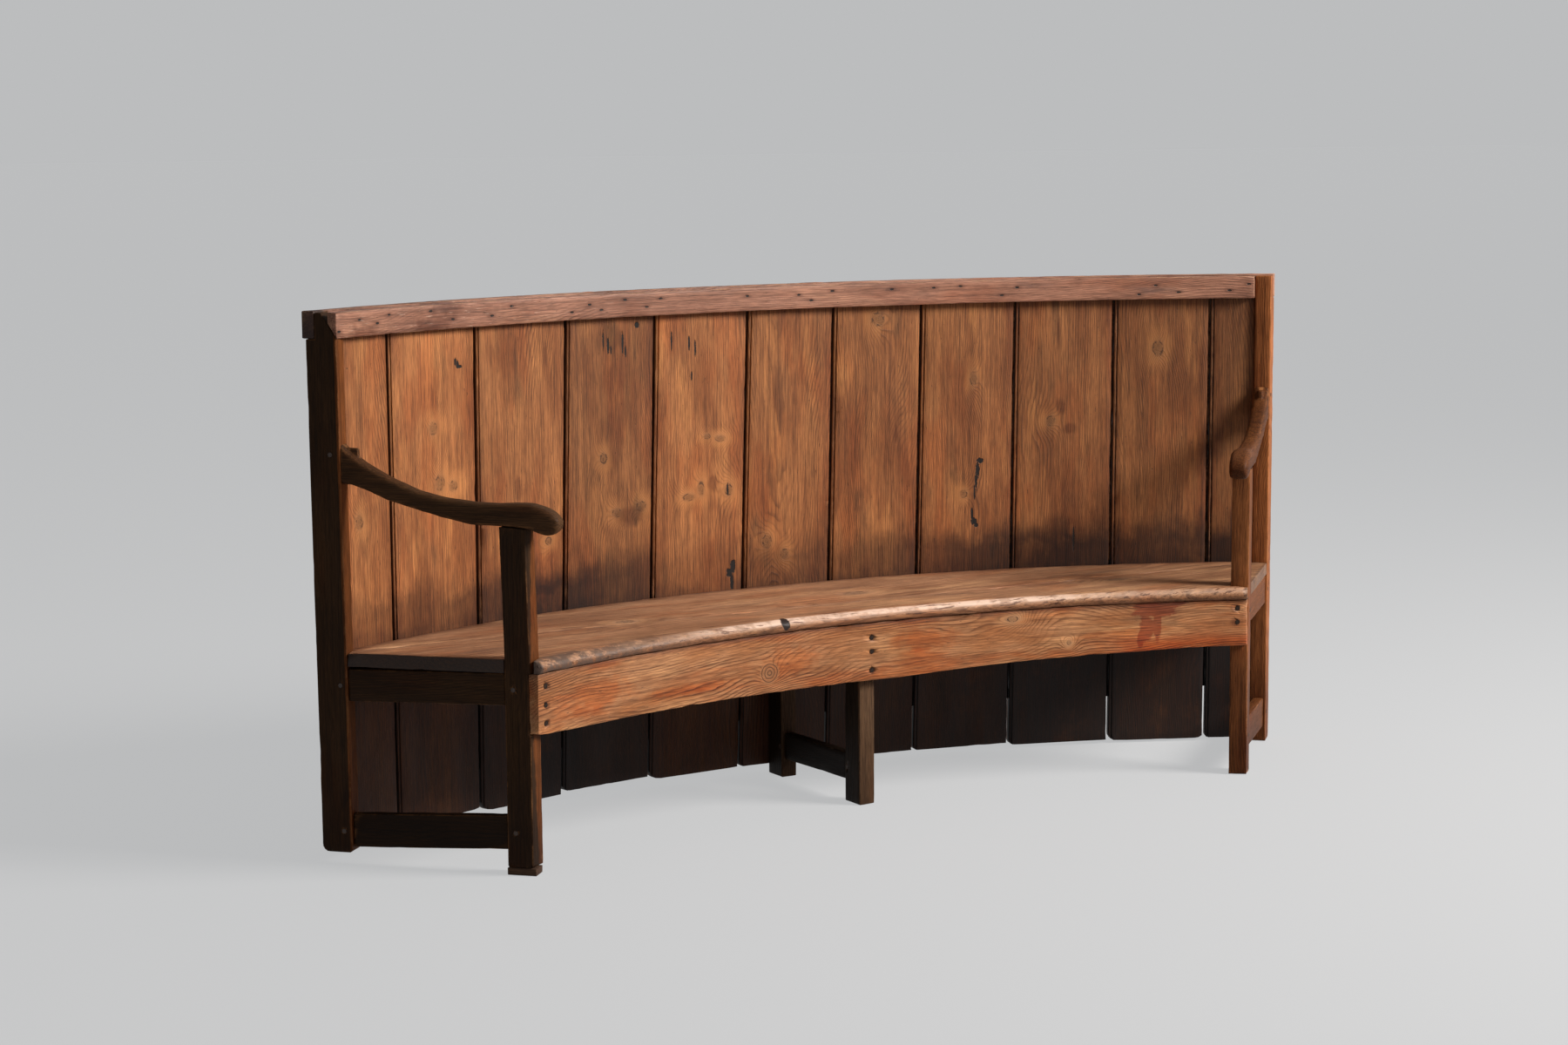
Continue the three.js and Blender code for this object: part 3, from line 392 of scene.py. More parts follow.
def soil_and_shade_of_boards(tree, colour, dents, grain, place):
    """Darker wood and painted shade below the seat, painted shade in the gaps between boards, a
    grimy band where backs never rub, and the splits of old boards.
    """
    up, round_curve, behind = step(tree, "ShaderNodeSeparateXYZ", {"Vector": grain}).outputs
    unsoiled = stained(tree, 1.0, colour, (0.6, 0.56, 0.54))
    rough = cloud(tree, place, 9.0, 5.0, 0.62)
    level = plus(tree, up, swing(tree, rough, 0.16, -0.08))
    grimy = (
        ((-1.3, 0.4), (-1.0, 0.6), (-0.82, 0.75), (-0.7, 1.0), (-0.45, 0.8), (-0.2, 0.25))
        + ((0.1, 0.5), (0.35, 0.65), (0.6, 0.88), (0.82, 0.95), (1.05, 0.8), (1.3, 0.6))
    )
    strength = profile(tree, round_curve, -1.3, 1.3, grimy)
    band = times(tree, ease_in(tree, level, 0.52, 0.6, 1.0, 0.0), strength)
    band = times(tree, band, ease_in(tree, rough, 0.3, 0.5, 0.7, 1.0))
    colour = stained(tree, band, colour, (0.1, 0.075, 0.08))
    rim = step(tree, "ShaderNodeAttribute", {}, attribute_name="rim").outputs["Fac"]
    grime = ease_in(tree, plus(tree, rim, times(tree, rough, 0.04)), 0.012, 0.06, 0.7, 0.0)
    colour = stained(tree, grime, colour, (0.6, 0.5, 0.46))
    # Painted shade in the gaps: the board sides and tongues inside the gaps are darkened so the
    # gaps look black.
    gap_shade = between(tree, behind, 0.001, 0.003, 0.0185, 0.0205)
    colour = stained(tree, times(tree, gap_shade, 0.9), colour, (0.12, 0.1, 0.1))
    edge = ease_in(tree, plus(tree, up, times(tree, rough, 0.05)), 1.13, 1.16, 0.0, 0.6)
    colour = stained(tree, edge, colour, (0.5, 0.4, 0.36))
    lap = ease_in(tree, level, 0.458, 0.5, 0.55, 0.0)
    colour = stained(tree, lap, colour, (0.4, 0.32, 0.34))
    # Below the seat the boards are darker, partly their own colour and partly painted shade under
    # the seat.
    under_seat_dark_and_shade = ease_in(tree, round_curve, -0.98, -0.86, 0.4, 0.64)
    under_seat_dark_and_shade = times(tree, ease_in(tree, up, 0.425, 0.45, 1.0, 0.0), under_seat_dark_and_shade)
    colour = stained(tree, under_seat_dark_and_shade, colour, (0.16, 0.14, 0.13))
    torn = (((1.078, -0.443), (0.036, 0.026)), ((0.672, -0.385), (0.035, 0.014)))
    torn = nearest(tree, grain, torn)
    torn = frayed(tree, torn, 1.8, scaled(tree, place, (20.0, 90.0, 90.0)), 1.0, 4.0)
    colour = stained(tree, ease_in(tree, torn, 0.6, 1.2, 0.7, 0.0), colour, (0.5, 0.52, 0.5))
    shadows = nearest(
        tree,
        grain,
        (
            ((1.05, -0.643), (0.03, 0.006)),
            ((0.66, -0.4), (0.022, 0.04)),
            ((0.86, 0.776), (0.02, 0.014)),
            ((0.805, 0.8), (0.014, 0.018)),
            ((1.05, 0.768), (0.04, 0.006)),
            ((0.81, 0.338), (0.022, 0.004)),
            ((0.72, -0.166), (0.02, 0.016)),
            ((0.75, -0.73), (0.03, 0.01)),
        ),
    )
    shadows = frayed(tree, shadows, 1.2, place, 40.0, 4.0)
    colour = stained(tree, ease_in(tree, shadows, 0.5, 1.4, 0.6, 0.0), colour, (0.35, 0.25, 0.22))
    splits = (
        ((1.05, -0.911), (0.009, 0.004)),
        ((1.043, -0.904), (0.008, 0.005)),
        ((1.038, -0.896), (0.004, 0.007)),
        ((1.074, -0.474), (0.024, 0.0026)),
        ((1.06, -0.46), (0.02, 0.0036)),
        ((1.05, -0.452), (0.01, 0.0026)),
        ((1.066, -0.418), (0.026, 0.0034)),
        ((1.045, -0.41), (0.016, 0.0026)),
        ((1.104, -0.376), (0.008, 0.007)),
        ((1.06, -0.279), (0.022, 0.0024)),
        ((1.055, -0.23), (0.018, 0.003)),
        ((1.04, -0.213), (0.02, 0.0024)),
        ((0.976, -0.224), (0.012, 0.0026)),
        ((0.701, -0.125), (0.014, 0.003)),
        ((0.515, -0.112), (0.016, 0.008)),
        ((0.5, -0.122), (0.012, 0.009)),
        ((0.478, -0.116), (0.02, 0.005)),
        ((0.733, 0.563), (0.007, 0.009)),
        ((0.712, 0.556), (0.022, 0.0055)),
        ((0.685, 0.552), (0.025, 0.0036)),
        ((0.655, 0.548), (0.02, 0.0022)),
        ((0.6, 0.541), (0.016, 0.0034)),
        ((0.583, 0.545), (0.009, 0.009)),
        ((0.573, 0.552), (0.006, 0.006)),
        ((0.53, 0.81), (0.03, 0.003)),
    )
    ragged = swing(tree, cloud(tree, place, 120.0, 4.0, 0.7), 1.6, -0.8)
    gap = plus(tree, nearest(tree, grain, splits), ragged)
    hole = ease_in(tree, gap, 0.8, 1.1, 1.0, 0.0)
    colour = tint(tree, hole, colour, (0.008, 0.005, 0.004, 1.0))
    colour = tint(tree, ease_in(tree, behind, 0.013, 0.0155), colour, unsoiled)
    return colour, minus(tree, dents, times(tree, hole, 3.0))


board_knots = (
    ((0.908, -0.984), (0.013, 0.011)),
    ((0.787, -0.966), (0.016, 0.013)),
    ((0.776, -0.925), (0.011, 0.012)),
    ((0.729, -1.221), (0.015, 0.011)),
    ((0.8, -0.478), (0.012, 0.01)),
    ((0.67, -0.442), (0.01, 0.012)),
    ((0.68, -0.37), (0.011, 0.013)),
    ((0.69, -0.235), (0.008, 0.016)),
    ((0.708, -0.2), (0.016, 0.008)),
    ((0.7, -0.122), (0.013, 0.01)),
    ((0.831, -0.182), (0.006, 0.009)),
    ((0.824, -0.145), (0.007, 0.013)),
    ((0.568, -0.017), (0.016, 0.012)),
    ((0.533, 0.031), (0.012, 0.011)),
    ((0.624, -0.642), (0.009, 0.009)),
    ((1.092, 0.29), (0.016, 0.016)),
    ((0.937, 0.545), (0.016, 0.009)),
    ((0.652, 0.519), (0.009, 0.009)),
    ((0.826, 0.749), (0.012, 0.011)),
    ((1.001, 1.025), (0.018, 0.013)),
    ((0.3, -0.9), (0.014, 0.012)),
    ((0.24, 0.45), (0.013, 0.011)),
)
board_pine = old_pine(
    "waxed board pine",
    pale=(0.46, 0.178, 0.06, 1.0),
    brown=(0.28, 0.092, 0.028, 1.0),
    dark=(0.07, 0.022, 0.009, 1.0),
    ring=0.0056,
    line=0.58,
    knots=board_knots,
    soil_and_light=soil_and_shade_of_boards,
    shine=0.5,
    rub=(0.36, 0.16, 0.07, 1.0),
)
# Tone of each board, partly its own colour and partly painted shade that deepens towards the right
# end of the back.
board_tones_and_shade = (1.12, 1.2, 0.98, 0.75, 1.05, 0.92, 0.87, 0.88, 0.76, 0.69, 0.58)
broken_below = 0.13
tongue_reach = 0.0072
up = Vector((0.0, 0.0, 1.0))


def upright_bent_grain(co):
    round_curve, level, outwards = bent_grain(back_centre, back_radius)(co)
    return Vector((level, round_curve, outwards))


def tongued(board, across, behind):
    """Draws a narrow tongue out of the board's right edge, broken away near the foot."""
    face = min(vert.co.dot(behind) for vert in board.verts)
    tongue = (face + 0.009, face + 0.016)
    for at in tongue:
        everything = board.verts[:] + board.edges[:] + board.faces[:]
        bmesh.ops.bisect_plane(
            board, geom=everything, dist=0.00001, plane_co=behind * at, plane_no=behind
        )
    board.normal_update()
    strip = [
        side
        for side in board.faces
        if side.normal.dot(across) > 0.9
        and tongue[0] < side.calc_center_median().dot(behind) < tongue[1]
        and side.calc_center_median().z > broken_below
    ]
    drawn = bmesh.ops.extrude_face_region(board, geom=strip)["geom"]
    ends = [vert for vert in drawn if isinstance(vert, bmesh.types.BMVert)]
    bmesh.ops.translate(board, vec=across * tongue_reach, verts=ends)
    bmesh.ops.delete(board, geom=strip, context="FACES")


for number in range(1, 12):
    node = f"back_board_{number:02d}"
    low, high = (Vector(corner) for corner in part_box(node))
    middle = (low + high) / 2 - back_centre
    across = Vector((middle.y, -middle.x, 0.0)).normalized()
    board = sawn(node, 0.0016, [(up, 0.022), (across, 0.016)])
    left_side = min(vert.co.dot(across) for vert in board.verts)
    right_side = max(vert.co.dot(across) for vert in board.verts)
    if number < 11:
        tongued(board, across, Vector((middle.x, middle.y, 0.0)).normalized())
    weathered(board, 0.0008, 0.002, number)
    piece = made(
        board,
        f"board_{number:02d}",
        node,
        board_pine,
        upright_bent_grain,
        float(number),
        board_tones_and_shade[number - 1],
    )
    for vert, wear in zip(piece.data.vertices, piece.data.attributes["worn"].data):
        wear.value *= 0.9 if vert.co.z > seat_top else 0.0
    rim = piece.data.attributes.new("rim", "FLOAT", "POINT")
    sides = [vert.co.dot(across) for vert in piece.data.vertices]
    inset = [max(0.0, min(side - left_side, right_side - side)) for side in sides]
    rim.data.foreach_set("value", inset)

# Rails of the back: a thin pine rail bent along the front of the boards' tops, nailed in two rows,
# a heavier one behind them that laps over the posts, and a hidden one under the seat that carries
# the boards.
nail_pitch = 0.118


def soil_of_rail(tree, colour, dents, grain, place):
    """Two rows of old nail holes, each with a dark stain, and darker along the lower arris."""
    round_curve, level, outwards = step(tree, "ShaderNodeSeparateXYZ", {"Vector": grain}).outputs
    marks = None
    for height, start in ((1.163, 0.0), (1.143, 0.52)):
        count = plus(tree, calc(tree, "DIVIDE", round_curve, nail_pitch), start)
        cell = calc(tree, "FLOOR", count)
        drawn = {"W": plus(tree, cell, start)}
        drawn = step(tree, "ShaderNodeTexWhiteNoise", drawn, noise_dimensions="1D")
        chance = step(tree, "ShaderNodeSeparateColor", {"Color": drawn.outputs["Color"]}).outputs
        sideways = minus(tree, calc(tree, "FRACT", count), swing(tree, chance[0], 0.5, 0.25))
        upwards = minus(tree, level, swing(tree, chance[1], 0.014, height - 0.007))
        missing = times(tree, calc(tree, "LESS_THAN", chance[2], 0.38), 50.0)
        sideways = calc(tree, "DIVIDE", sideways, 0.048)
        upwards = calc(tree, "DIVIDE", upwards, 0.0024)
        far = plus(tree, distance(tree, sideways, upwards), missing)
        marks = far if marks is None else calc(tree, "MINIMUM", marks, far)
    marks = frayed(tree, marks, 0.8, place, 150.0, 2.0)
    hole = ease_in(tree, marks, 0.75, 1.15, 1.0, 0.0)
    halo = ease_in(tree, marks, 0.9, 3.4, 0.45, 0.0)
    colour = stained(tree, halo, colour, (0.3, 0.2, 0.18))
    colour = tint(tree, hole, colour, (0.012, 0.008, 0.006, 1.0))
    foot = plus(tree, level, times(tree, cloud(tree, place, 30.0), 0.006))
    foot = ease_in(tree, foot, 1.126, 1.134, 0.6, 0.0)
    colour = stained(tree, foot, colour, (0.4, 0.28, 0.25))
    left_end = ease_in(tree, cloud(tree, place, 9.0, 4.0), 0.42, 0.6)
    left_end = times(tree, ease_in(tree, round_curve, -1.1, -0.5, 0.8, 0.0), left_end)
    colour = stained(tree, left_end, colour, (0.42, 0.3, 0.25))
    scratch = cloud(tree, scaled(tree, place, (24.0, 240.0, 240.0)), 1.0, 4.0, 0.7)
    scratch = ease_in(tree, scratch, 0.6, 0.68)
    scratch = times(tree, scratch, ease_in(tree, round_curve, -0.9, -0.2, 0.45, 0.06))
    colour = tint(tree, scratch, colour, (0.72, 0.5, 0.38, 1.0))
    behind = ease_in(tree, outwards, 0.0, 0.012)
    left_lap = times(tree, ease_in(tree, round_curve, -1.3, -1.25, 0.95, 0.0), behind)
    colour = stained(tree, left_lap, colour, (0.12, 0.11, 0.12))
    cut_end = ease_in(tree, calc(tree, "ABSOLUTE", round_curve), 1.326, 1.338, 0.0, 0.9)
    colour = stained(tree, cut_end, colour, (0.14, 0.12, 0.12))
    return colour, minus(tree, dents, times(tree, hole, 2.5))


# The pale rub on the rail's arrises is wear and also a painted highlight along its top arris.
rail_pine = old_pine(
    "rubbed rail pine",
    pale=(0.46, 0.216, 0.138, 1.0),
    brown=(0.3, 0.13, 0.08, 1.0),
    dark=(0.09, 0.036, 0.022, 1.0),
    ring=0.0062,
    line=0.62,
    soil_and_light=soil_of_rail,
    shine=0.42,
    rub=(0.58, 0.34, 0.2, 1.0),
)
hidden_pine = old_pine(
    "dry hidden pine",
    pale=(0.1, 0.05, 0.028, 1.0),
    brown=(0.055, 0.027, 0.015, 1.0),
    dark=(0.02, 0.01, 0.006, 1.0),
    ring=0.005,
    line=0.5,
    shine=0.75,
)
along_bench = Vector((1.0, 0.0, 0.0))
round_back = bent_grain(back_centre, back_radius)
for node, material, slot_name, seed in (
    ("front_top_rail", rail_pine, "back_pine", 21.0),
    ("rear_top_rail", rail_pine, "back_pine", 22.0),
    ("back_seat_rail", hidden_pine, "hidden_pine", 23.0),
):
    rail = sawn(node, 0.0022, [(along_bench, 0.03), (up, 0.014)])
    weathered(rail, 0.0008, 0.003, seed)
    made(rail, node + "_worn", node, material, round_back, seed)

# Seat: two wide pine boards laid flat, the front one bowed along its nose, which years of use have
# rounded and rubbed pale, with a painted highlight along it. The rear board fills the hollow of the
# back, and both lie on the rails of the frames.
front_centre = Vector((0.0, -2.4366, 0.0))
nose_radius = 2.295


def beyond(tree, x, y, centre, radius):
    """How far a place in plan lies outside a circle."""
    return minus(tree, distance(tree, x, minus(tree, y, centre.y)), radius)


def soil_and_light_of_seat(tree, colour, dents, grain, place):
    """A pale worn nose with a painted highlight, painted shade under the nose, on the cut ends and
    towards the right, a dark left end, a burnt notch, and grime at the foot of the boards.
    """
    body = step(tree, "ShaderNodeTexCoord", {}).outputs["Object"]
    x, y, z = step(tree, "ShaderNodeSeparateXYZ", {"Vector": body}).outputs
    from_front = beyond(tree, x, y, front_centre, nose_radius)
    patchy = cloud(tree, place, 16.0, 5.0, 0.65)
    # The pale along the upper nose is partly worn wood and partly a painted highlight.
    nose = ease_in(tree, from_front, 0.014, 0.024, 1.0, 0.0)
    nose = times(tree, nose, ease_in(tree, z, 0.4465, 0.4515))
    paled = ease_in(tree, cloud(tree, place, 38.0, 4.0), 0.32, 0.56, 0.45, 1.0)
    paled = times(tree, nose, paled)
    paled = times(tree, paled, ease_in(tree, x, -0.62, -0.3, 0.08, 1.0))
    paled = times(tree, paled, ease_in(tree, x, 0.35, 0.75, 1.0, 0.3))
    colour = tint(tree, times(tree, paled, 0.9), colour, (0.95, 0.68, 0.53, 1.0))
    splits = cloud(tree, scaled(tree, place, (9.0, 170.0, 170.0)), 1.0, 4.0, 0.65)
    splits = ease_in(tree, splits, 0.56, 0.64)
    splits = times(tree, splits, ease_in(tree, from_front, 0.03, 0.07, 0.85, 0.25))
    colour = stained(tree, splits, colour, (0.2, 0.12, 0.09))
    # Painted shade on the lower part of the nose, which faces down.
    nose_underside_shade = ease_in(tree, z, 0.439, 0.4485, 1.0, 0.0)
    nose_underside_shade = times(tree, nose_underside_shade, ease_in(tree, from_front, 0.0, 0.05, 1.0, 0.0))
    colour = stained(tree, nose_underside_shade, colour, (0.66, 0.55, 0.47))
    # Painted shade: the seat darkens towards its right end.
    right = ease_in(tree, plus(tree, x, times(tree, patchy, 0.2)), 0.45, 1.15, 0.0, 0.7)
    colour = stained(tree, right, colour, (0.62, 0.58, 0.52))
    # Painted shade on the seat's cut end faces, full at the left end and weaker at the right end.
    inside = minus(tree, 1.2849, calc(tree, "ABSOLUTE", x))
    inside = plus(tree, times(tree, inside, 0.7034), swing(tree, y, 0.7108, -0.0122))
    cut_end = ease_in(tree, inside, 0.003, 0.012, 1.0, 0.0)
    cut_end = times(tree, cut_end, ease_in(tree, x, 0.0, 0.1, 1.0, 0.4))
    colour = stained(tree, cut_end, colour, (0.06, 0.05, 0.045))
    left = ease_in(tree, x, -0.85, -0.35, 1.0, 0.0)
    left = times(tree, left, ease_in(tree, from_front, 0.02, 0.045, 1.0, 0.0))
    left = times(tree, left, ease_in(tree, cloud(tree, place, 34.0, 5.0, 0.7), 0.36, 0.54))
    colour = tint(tree, times(tree, left, 0.9), colour, (0.12, 0.075, 0.055, 1.0))
    from_back = times(tree, beyond(tree, x, y, back_centre, back_radius), -1.0)
    foot = plus(tree, from_back, swing(tree, patchy, 0.05, -0.025))
    foot = ease_in(tree, foot, 0.0, 0.045, 0.75, 0.0)
    colour = stained(tree, foot, colour, (0.34, 0.22, 0.17))
    notch = {0: body, 1: (-0.234, -0.146, 0.451)}
    notch = step(tree, "ShaderNodeVectorMath", notch, operation="SUBTRACT").outputs[0]
    notch = {0: scaled(tree, notch, (85.0, 45.0, 60.0))}
    notch = step(tree, "ShaderNodeVectorMath", notch, operation="LENGTH")
    ragged = swing(tree, cloud(tree, body, 90.0, 3.0), 0.6, -0.3)
    burnt = ease_in(tree, plus(tree, notch.outputs["Value"], ragged), 0.8, 1.1, 1.0, 0.0)
    colour = tint(tree, burnt, colour, (0.02, 0.01, 0.007, 1.0))
    return colour, minus(tree, dents, times(tree, burnt, 2.0))


seat_pine = old_pine(
    "worn seat pine",
    pale=(0.58, 0.305, 0.165, 1.0),
    brown=(0.38, 0.185, 0.096, 1.0),
    dark=(0.15, 0.066, 0.036, 1.0),
    ring=0.011,
    line=0.6,
    knots=(
        ((0.1, 0.1), (0.03, 0.018)),
        ((-0.55, 0.02), (0.02, 0.014)),
        ((0.75, -0.06), (0.025, 0.012)),
    ),
    soil_and_light=soil_and_light_of_seat,
    shine=0.4,
)
to_back = Vector((0.0, 1.0, 0.0))
along_seat = straight_grain(Vector((0.0, 0.0, 0.44)), along_bench, to_back)
for node, seed in (("seat_front_board", 31.0), ("seat_rear_board", 32.0)):
    seat = sawn(node, 0.0015, [(along_bench, 0.03), (to_back, 0.02)], arris_angle=50.0)
    weathered(seat, 0.0012, 0.004, seed)
    made(seat, node + "_worn", node, seat_pine, along_seat, seed)

# Apron: one pine board bent across the fronts of the three legs and nailed to each, with bold wavy
# grain. Its lower edge was cut by eye.
apron_radius = 2.31


def soil_and_shade_of_apron(tree, colour, dents, grain, place):
    """Orange patches, a ringed knot, a spilt stain, nail stains and a painted shadow of the seat
    nose along the top edge.
    """
    round_curve, level, _ = step(tree, "ShaderNodeSeparateXYZ", {"Vector": grain}).outputs
    rough = cloud(tree, place, 30.0, 5.0, 0.65)
    patch = cloud(tree, scaled(tree, place, (4.0, 14.0, 14.0)), 1.0, 4.0, 0.6)
    colour = stained(tree, ease_in(tree, patch, 0.48, 0.66, 0.0, 0.75), colour, (0.98, 0.6, 0.34))
    burnished = (
        ((0.15, 0.378), (0.11, 0.026)),
        ((-0.226, 0.362), (0.08, 0.04)),
        ((-0.78, 0.36), (0.12, 0.035)),
        ((-0.5, 0.335), (0.14, 0.014)),
    )
    orange = plus(tree, nearest(tree, grain, burnished), swing(tree, rough, 1.6, -0.8))
    colour = stained(tree, ease_in(tree, orange, 0.4, 1.2, 0.7, 0.0), colour, (1.0, 0.62, 0.34))
    foot = ease_in(tree, level, 0.33, 0.36, 0.9, 0.0)
    foot = times(tree, foot, ease_in(tree, round_curve, 0.6, 0.72))
    colour = stained(tree, foot, colour, (0.95, 0.45, 0.2))
    knot = plus(tree, near(tree, grain, (-0.279, 0.342), (0.028, 0.026)), times(tree, rough, 0.22))
    rings = calc(tree, "ABSOLUTE", minus(tree, calc(tree, "FRACT", times(tree, knot, 3.4)), 0.5))
    inside = ease_in(tree, knot, 1.0, 1.2, 1.0, 0.0)
    colour = tint(tree, times(tree, inside, 0.45), colour, (0.42, 0.19, 0.08, 1.0))
    drawn = times(tree, ease_in(tree, rings, 0.25, 0.42, 0.0, 0.85), inside)
    colour = tint(tree, drawn, colour, (0.1, 0.04, 0.018, 1.0))
    spill = (
        ((0.74, 0.424), (0.055, 0.011)),
        ((0.735, 0.407), (0.05, 0.012)),
        ((0.79, 0.428), (0.03, 0.007)),
        ((0.715, 0.37), (0.018, 0.035)),
        ((0.742, 0.375), (0.01, 0.045)),
        ((0.7, 0.345), (0.009, 0.02)),
    )
    stain = plus(tree, nearest(tree, grain, spill), swing(tree, rough, 1.6, -0.8))
    colour = stained(tree, ease_in(tree, stain, 0.85, 1.15, 0.8, 0.0), colour, (0.58, 0.24, 0.19))
    nails = [((-0.935, z), (0.011, 0.011)) for z in (0.403, 0.3625, 0.3235)]
    nails += [((0.003, z), (0.01, 0.01)) for z in (0.395, 0.3625, 0.319)]
    nails += [((0.935, z), (0.014, 0.012)) for z in (0.41, 0.376)]
    rust = plus(tree, nearest(tree, grain, nails), swing(tree, rough, 1.2, -0.6))
    colour = stained(tree, ease_in(tree, rust, 0.4, 1.2, 0.6, 0.0), colour, (0.3, 0.2, 0.17))
    # Painted shadow of the seat nose along the apron's top edge.
    nose_shadow_on_apron = ease_in(tree, plus(tree, level, times(tree, rough, 0.01)), 0.42, 0.434, 0.0, 0.7)
    colour = stained(tree, nose_shadow_on_apron, colour, (0.3, 0.2, 0.16))
    return colour, minus(tree, dents, times(tree, drawn, 0.4))


apron_pine = old_pine(
    "bold apron pine",
    pale=(0.54, 0.252, 0.114, 1.0),
    brown=(0.42, 0.155, 0.052, 1.0),
    dark=(0.11, 0.032, 0.0095, 1.0),
    ring=0.0056,
    line=1.0,
    knots=(
        ((0.374, 0.409), (0.014, 0.006)),
        ((0.519, 0.344), (0.005, 0.005)),
        ((-0.279, 0.342), (0.009, 0.008)),
    ),
    soil_and_light=soil_and_shade_of_apron,
    shine=0.48,
    rub=(0.5, 0.26, 0.13, 1.0),
    wander=0.5,
)
apron = sawn("apron", 0.0015, [(along_bench, 0.025), (up, 0.012)])
weathered(apron, 0.001, 0.004, 41.0)
round_front = bent_grain(front_centre, apron_radius)
made(apron, "apron_worn", "apron", apron_pine, round_front, 41.0)

# End frames and middle frame: posts, legs, arms, rails and stretcher of dark waxed pine, tenoned
# and pegged. The left end is nearly black, partly dark wood and partly painted shade, the right end
# redder, and the middle legs greyer. Posts and legs carry painted light: paler fronts, darker
# sides.
post_face = -0.861
arm_blend = 0.06
smoothing_passes = 6


def light_and_soil_of_frame(low, high, gain):
    """Darker towards the floor, and painted light: posts and legs paler on the front than on the
    sides.
    """

    def soil_and_light(tree, colour, dents, grain, place):
        body = step(tree, "ShaderNodeTexCoord", {}).outputs["Object"]
        z = step(tree, "ShaderNodeSeparateXYZ", {"Vector": body}).outputs[2]
        forwards = step(tree, "ShaderNodeSeparateXYZ", {"Vector": grain}).outputs[1]
        forwards = plus(tree, forwards, times(tree, z, 0.009))
        # Painted light: the front faces of posts and legs are multiplied paler by gain as the lit
        # side, so the other faces stay as dark as shaded sides.
        paled = frayed(tree, forwards, 0.003, place, 30.0, 4.0)
        colour = tint(tree, ease_in(tree, paled, low, high), colour, gain, "MULTIPLY")
        uneven = frayed(tree, z, 0.16, place, 14.0, 4.0)
        darker_towards_floor = ease_in(tree, uneven, 0.04, 0.32, 0.7, 0.0)
        colour = stained(tree, darker_towards_floor, colour, (0.42, 0.38, 0.36))
        return colour, dents

    return soil_and_light


def frame_pine(name, pale, brown, dark, rub, soil_and_light):
    return old_pine(
        name,
        pale=pale,
        brown=brown,
        dark=dark,
        ring=0.0048,
        line=0.5,
        soil_and_light=soil_and_light,
        shine=0.46,
        rub=rub,
        drifts=0.5,
        gloss=0.1,
    )


left_pine = frame_pine(
    "black-brown end pine",
    (0.068, 0.031, 0.013, 1.0),
    (0.024, 0.011, 0.0047, 1.0),
    (0.007, 0.0036, 0.0022, 1.0),
    (0.3, 0.13, 0.05, 1.0),
    light_and_soil_of_frame(0.0335, 0.0352, (3.9, 2.7, 1.8, 1.0)),
)
right_pine = frame_pine(
    "red-brown end pine",
    (0.26, 0.088, 0.027, 1.0),
    (0.12, 0.038, 0.013, 1.0),
    (0.03, 0.01, 0.005, 1.0),
    (0.44, 0.18, 0.065, 1.0),
    light_and_soil_of_frame(0.0335, 0.0352, (1.1, 1.1, 1.1, 1.0)),
)
middle_pine = frame_pine(
    "grey-brown leg pine",
    (0.045, 0.027, 0.016, 1.0),
    (0.023, 0.014, 0.0085, 1.0),
    (0.01, 0.006, 0.0045, 1.0),
    (0.2, 0.12, 0.07, 1.0),
    light_and_soil_of_frame(0.028, 0.0305, (4.0, 3.6, 3.2, 1.0)),
)
# Tone of each part, partly its own colour and partly painted light: the right rear post is
# lightened against the shadow that the rear rail casts on it.
frame_tones_and_light = {
    "left_seat_rail": 0.9,
    "left_foot_rail": 0.6,
    "left_arm": 1.8,
    "right_rear_post": 1.8,
    "right_arm": 0.6,
    "middle_stretcher": 0.6,
    "middle_rear_leg": 0.8,
}
forward = {
    "left": Vector((0.7108, -0.7034, 0.0)),
    "right": Vector((-0.7108, -0.7034, 0.0)),
    "middle": Vector((0.0, -1.0, 0.0)),
}
finish = {"left": left_pine, "right": right_pine, "middle": middle_pine}
standing = ("rear_post", "front_leg", "rear_leg")
frame_parts = (*standing, "seat_rail", "foot_rail", "stretcher", "arm")
seed = 50.0
for side, front in forward.items():
    across_frame = up.cross(front)
    for part in frame_parts:
        node = f"{side}_{part}"
        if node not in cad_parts:
            continue
        low, high = (Vector(corner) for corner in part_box(node))
        centre = (low + high) / 2
        if part in standing:
            wood = sawn(node, 0.0028, [(up, 0.02), (front, 0.014), (across_frame, 0.014)])
            grain = straight_grain(Vector((centre.x, centre.y, 0.0)), up, front)
        elif part == "arm":
            wood = sawn(node, 0.0, [(front, 0.011), (up, 0.011), (across_frame, 0.01)])
            free = [vert for vert in wood.verts if vert.co.dot(front) > post_face + 0.0005]
            sawn_at = [vert.co.copy() for vert in free]
            axes = {f"use_axis_{axis}": True for axis in "xyz"}
            for _ in range(smoothing_passes):
                bmesh.ops.smooth_vert(wood, verts=free, factor=0.5, **axes)
            for vert, flat in zip(free, sawn_at):
                rounded = min(1.0, (flat.dot(front) - post_face) / arm_blend)
                vert.co = flat.lerp(vert.co, rounded)
            grain = straight_grain(centre + up * 0.2, front, up)
        else:
            wood = sawn(node, 0.0025, [(front, 0.02), (up, 0.014), (across_frame, 0.014)])
            grain = straight_grain(centre + up * 0.2, front, up)
        weathered(wood, 0.0007, 0.0003 if part == "arm" else 0.0022, seed)
        tone = frame_tones_and_light.get(node, 1.0)
        made(wood, f"{node}_worn", node, finish[side], grain, seed, tone)
        seed += 1.0

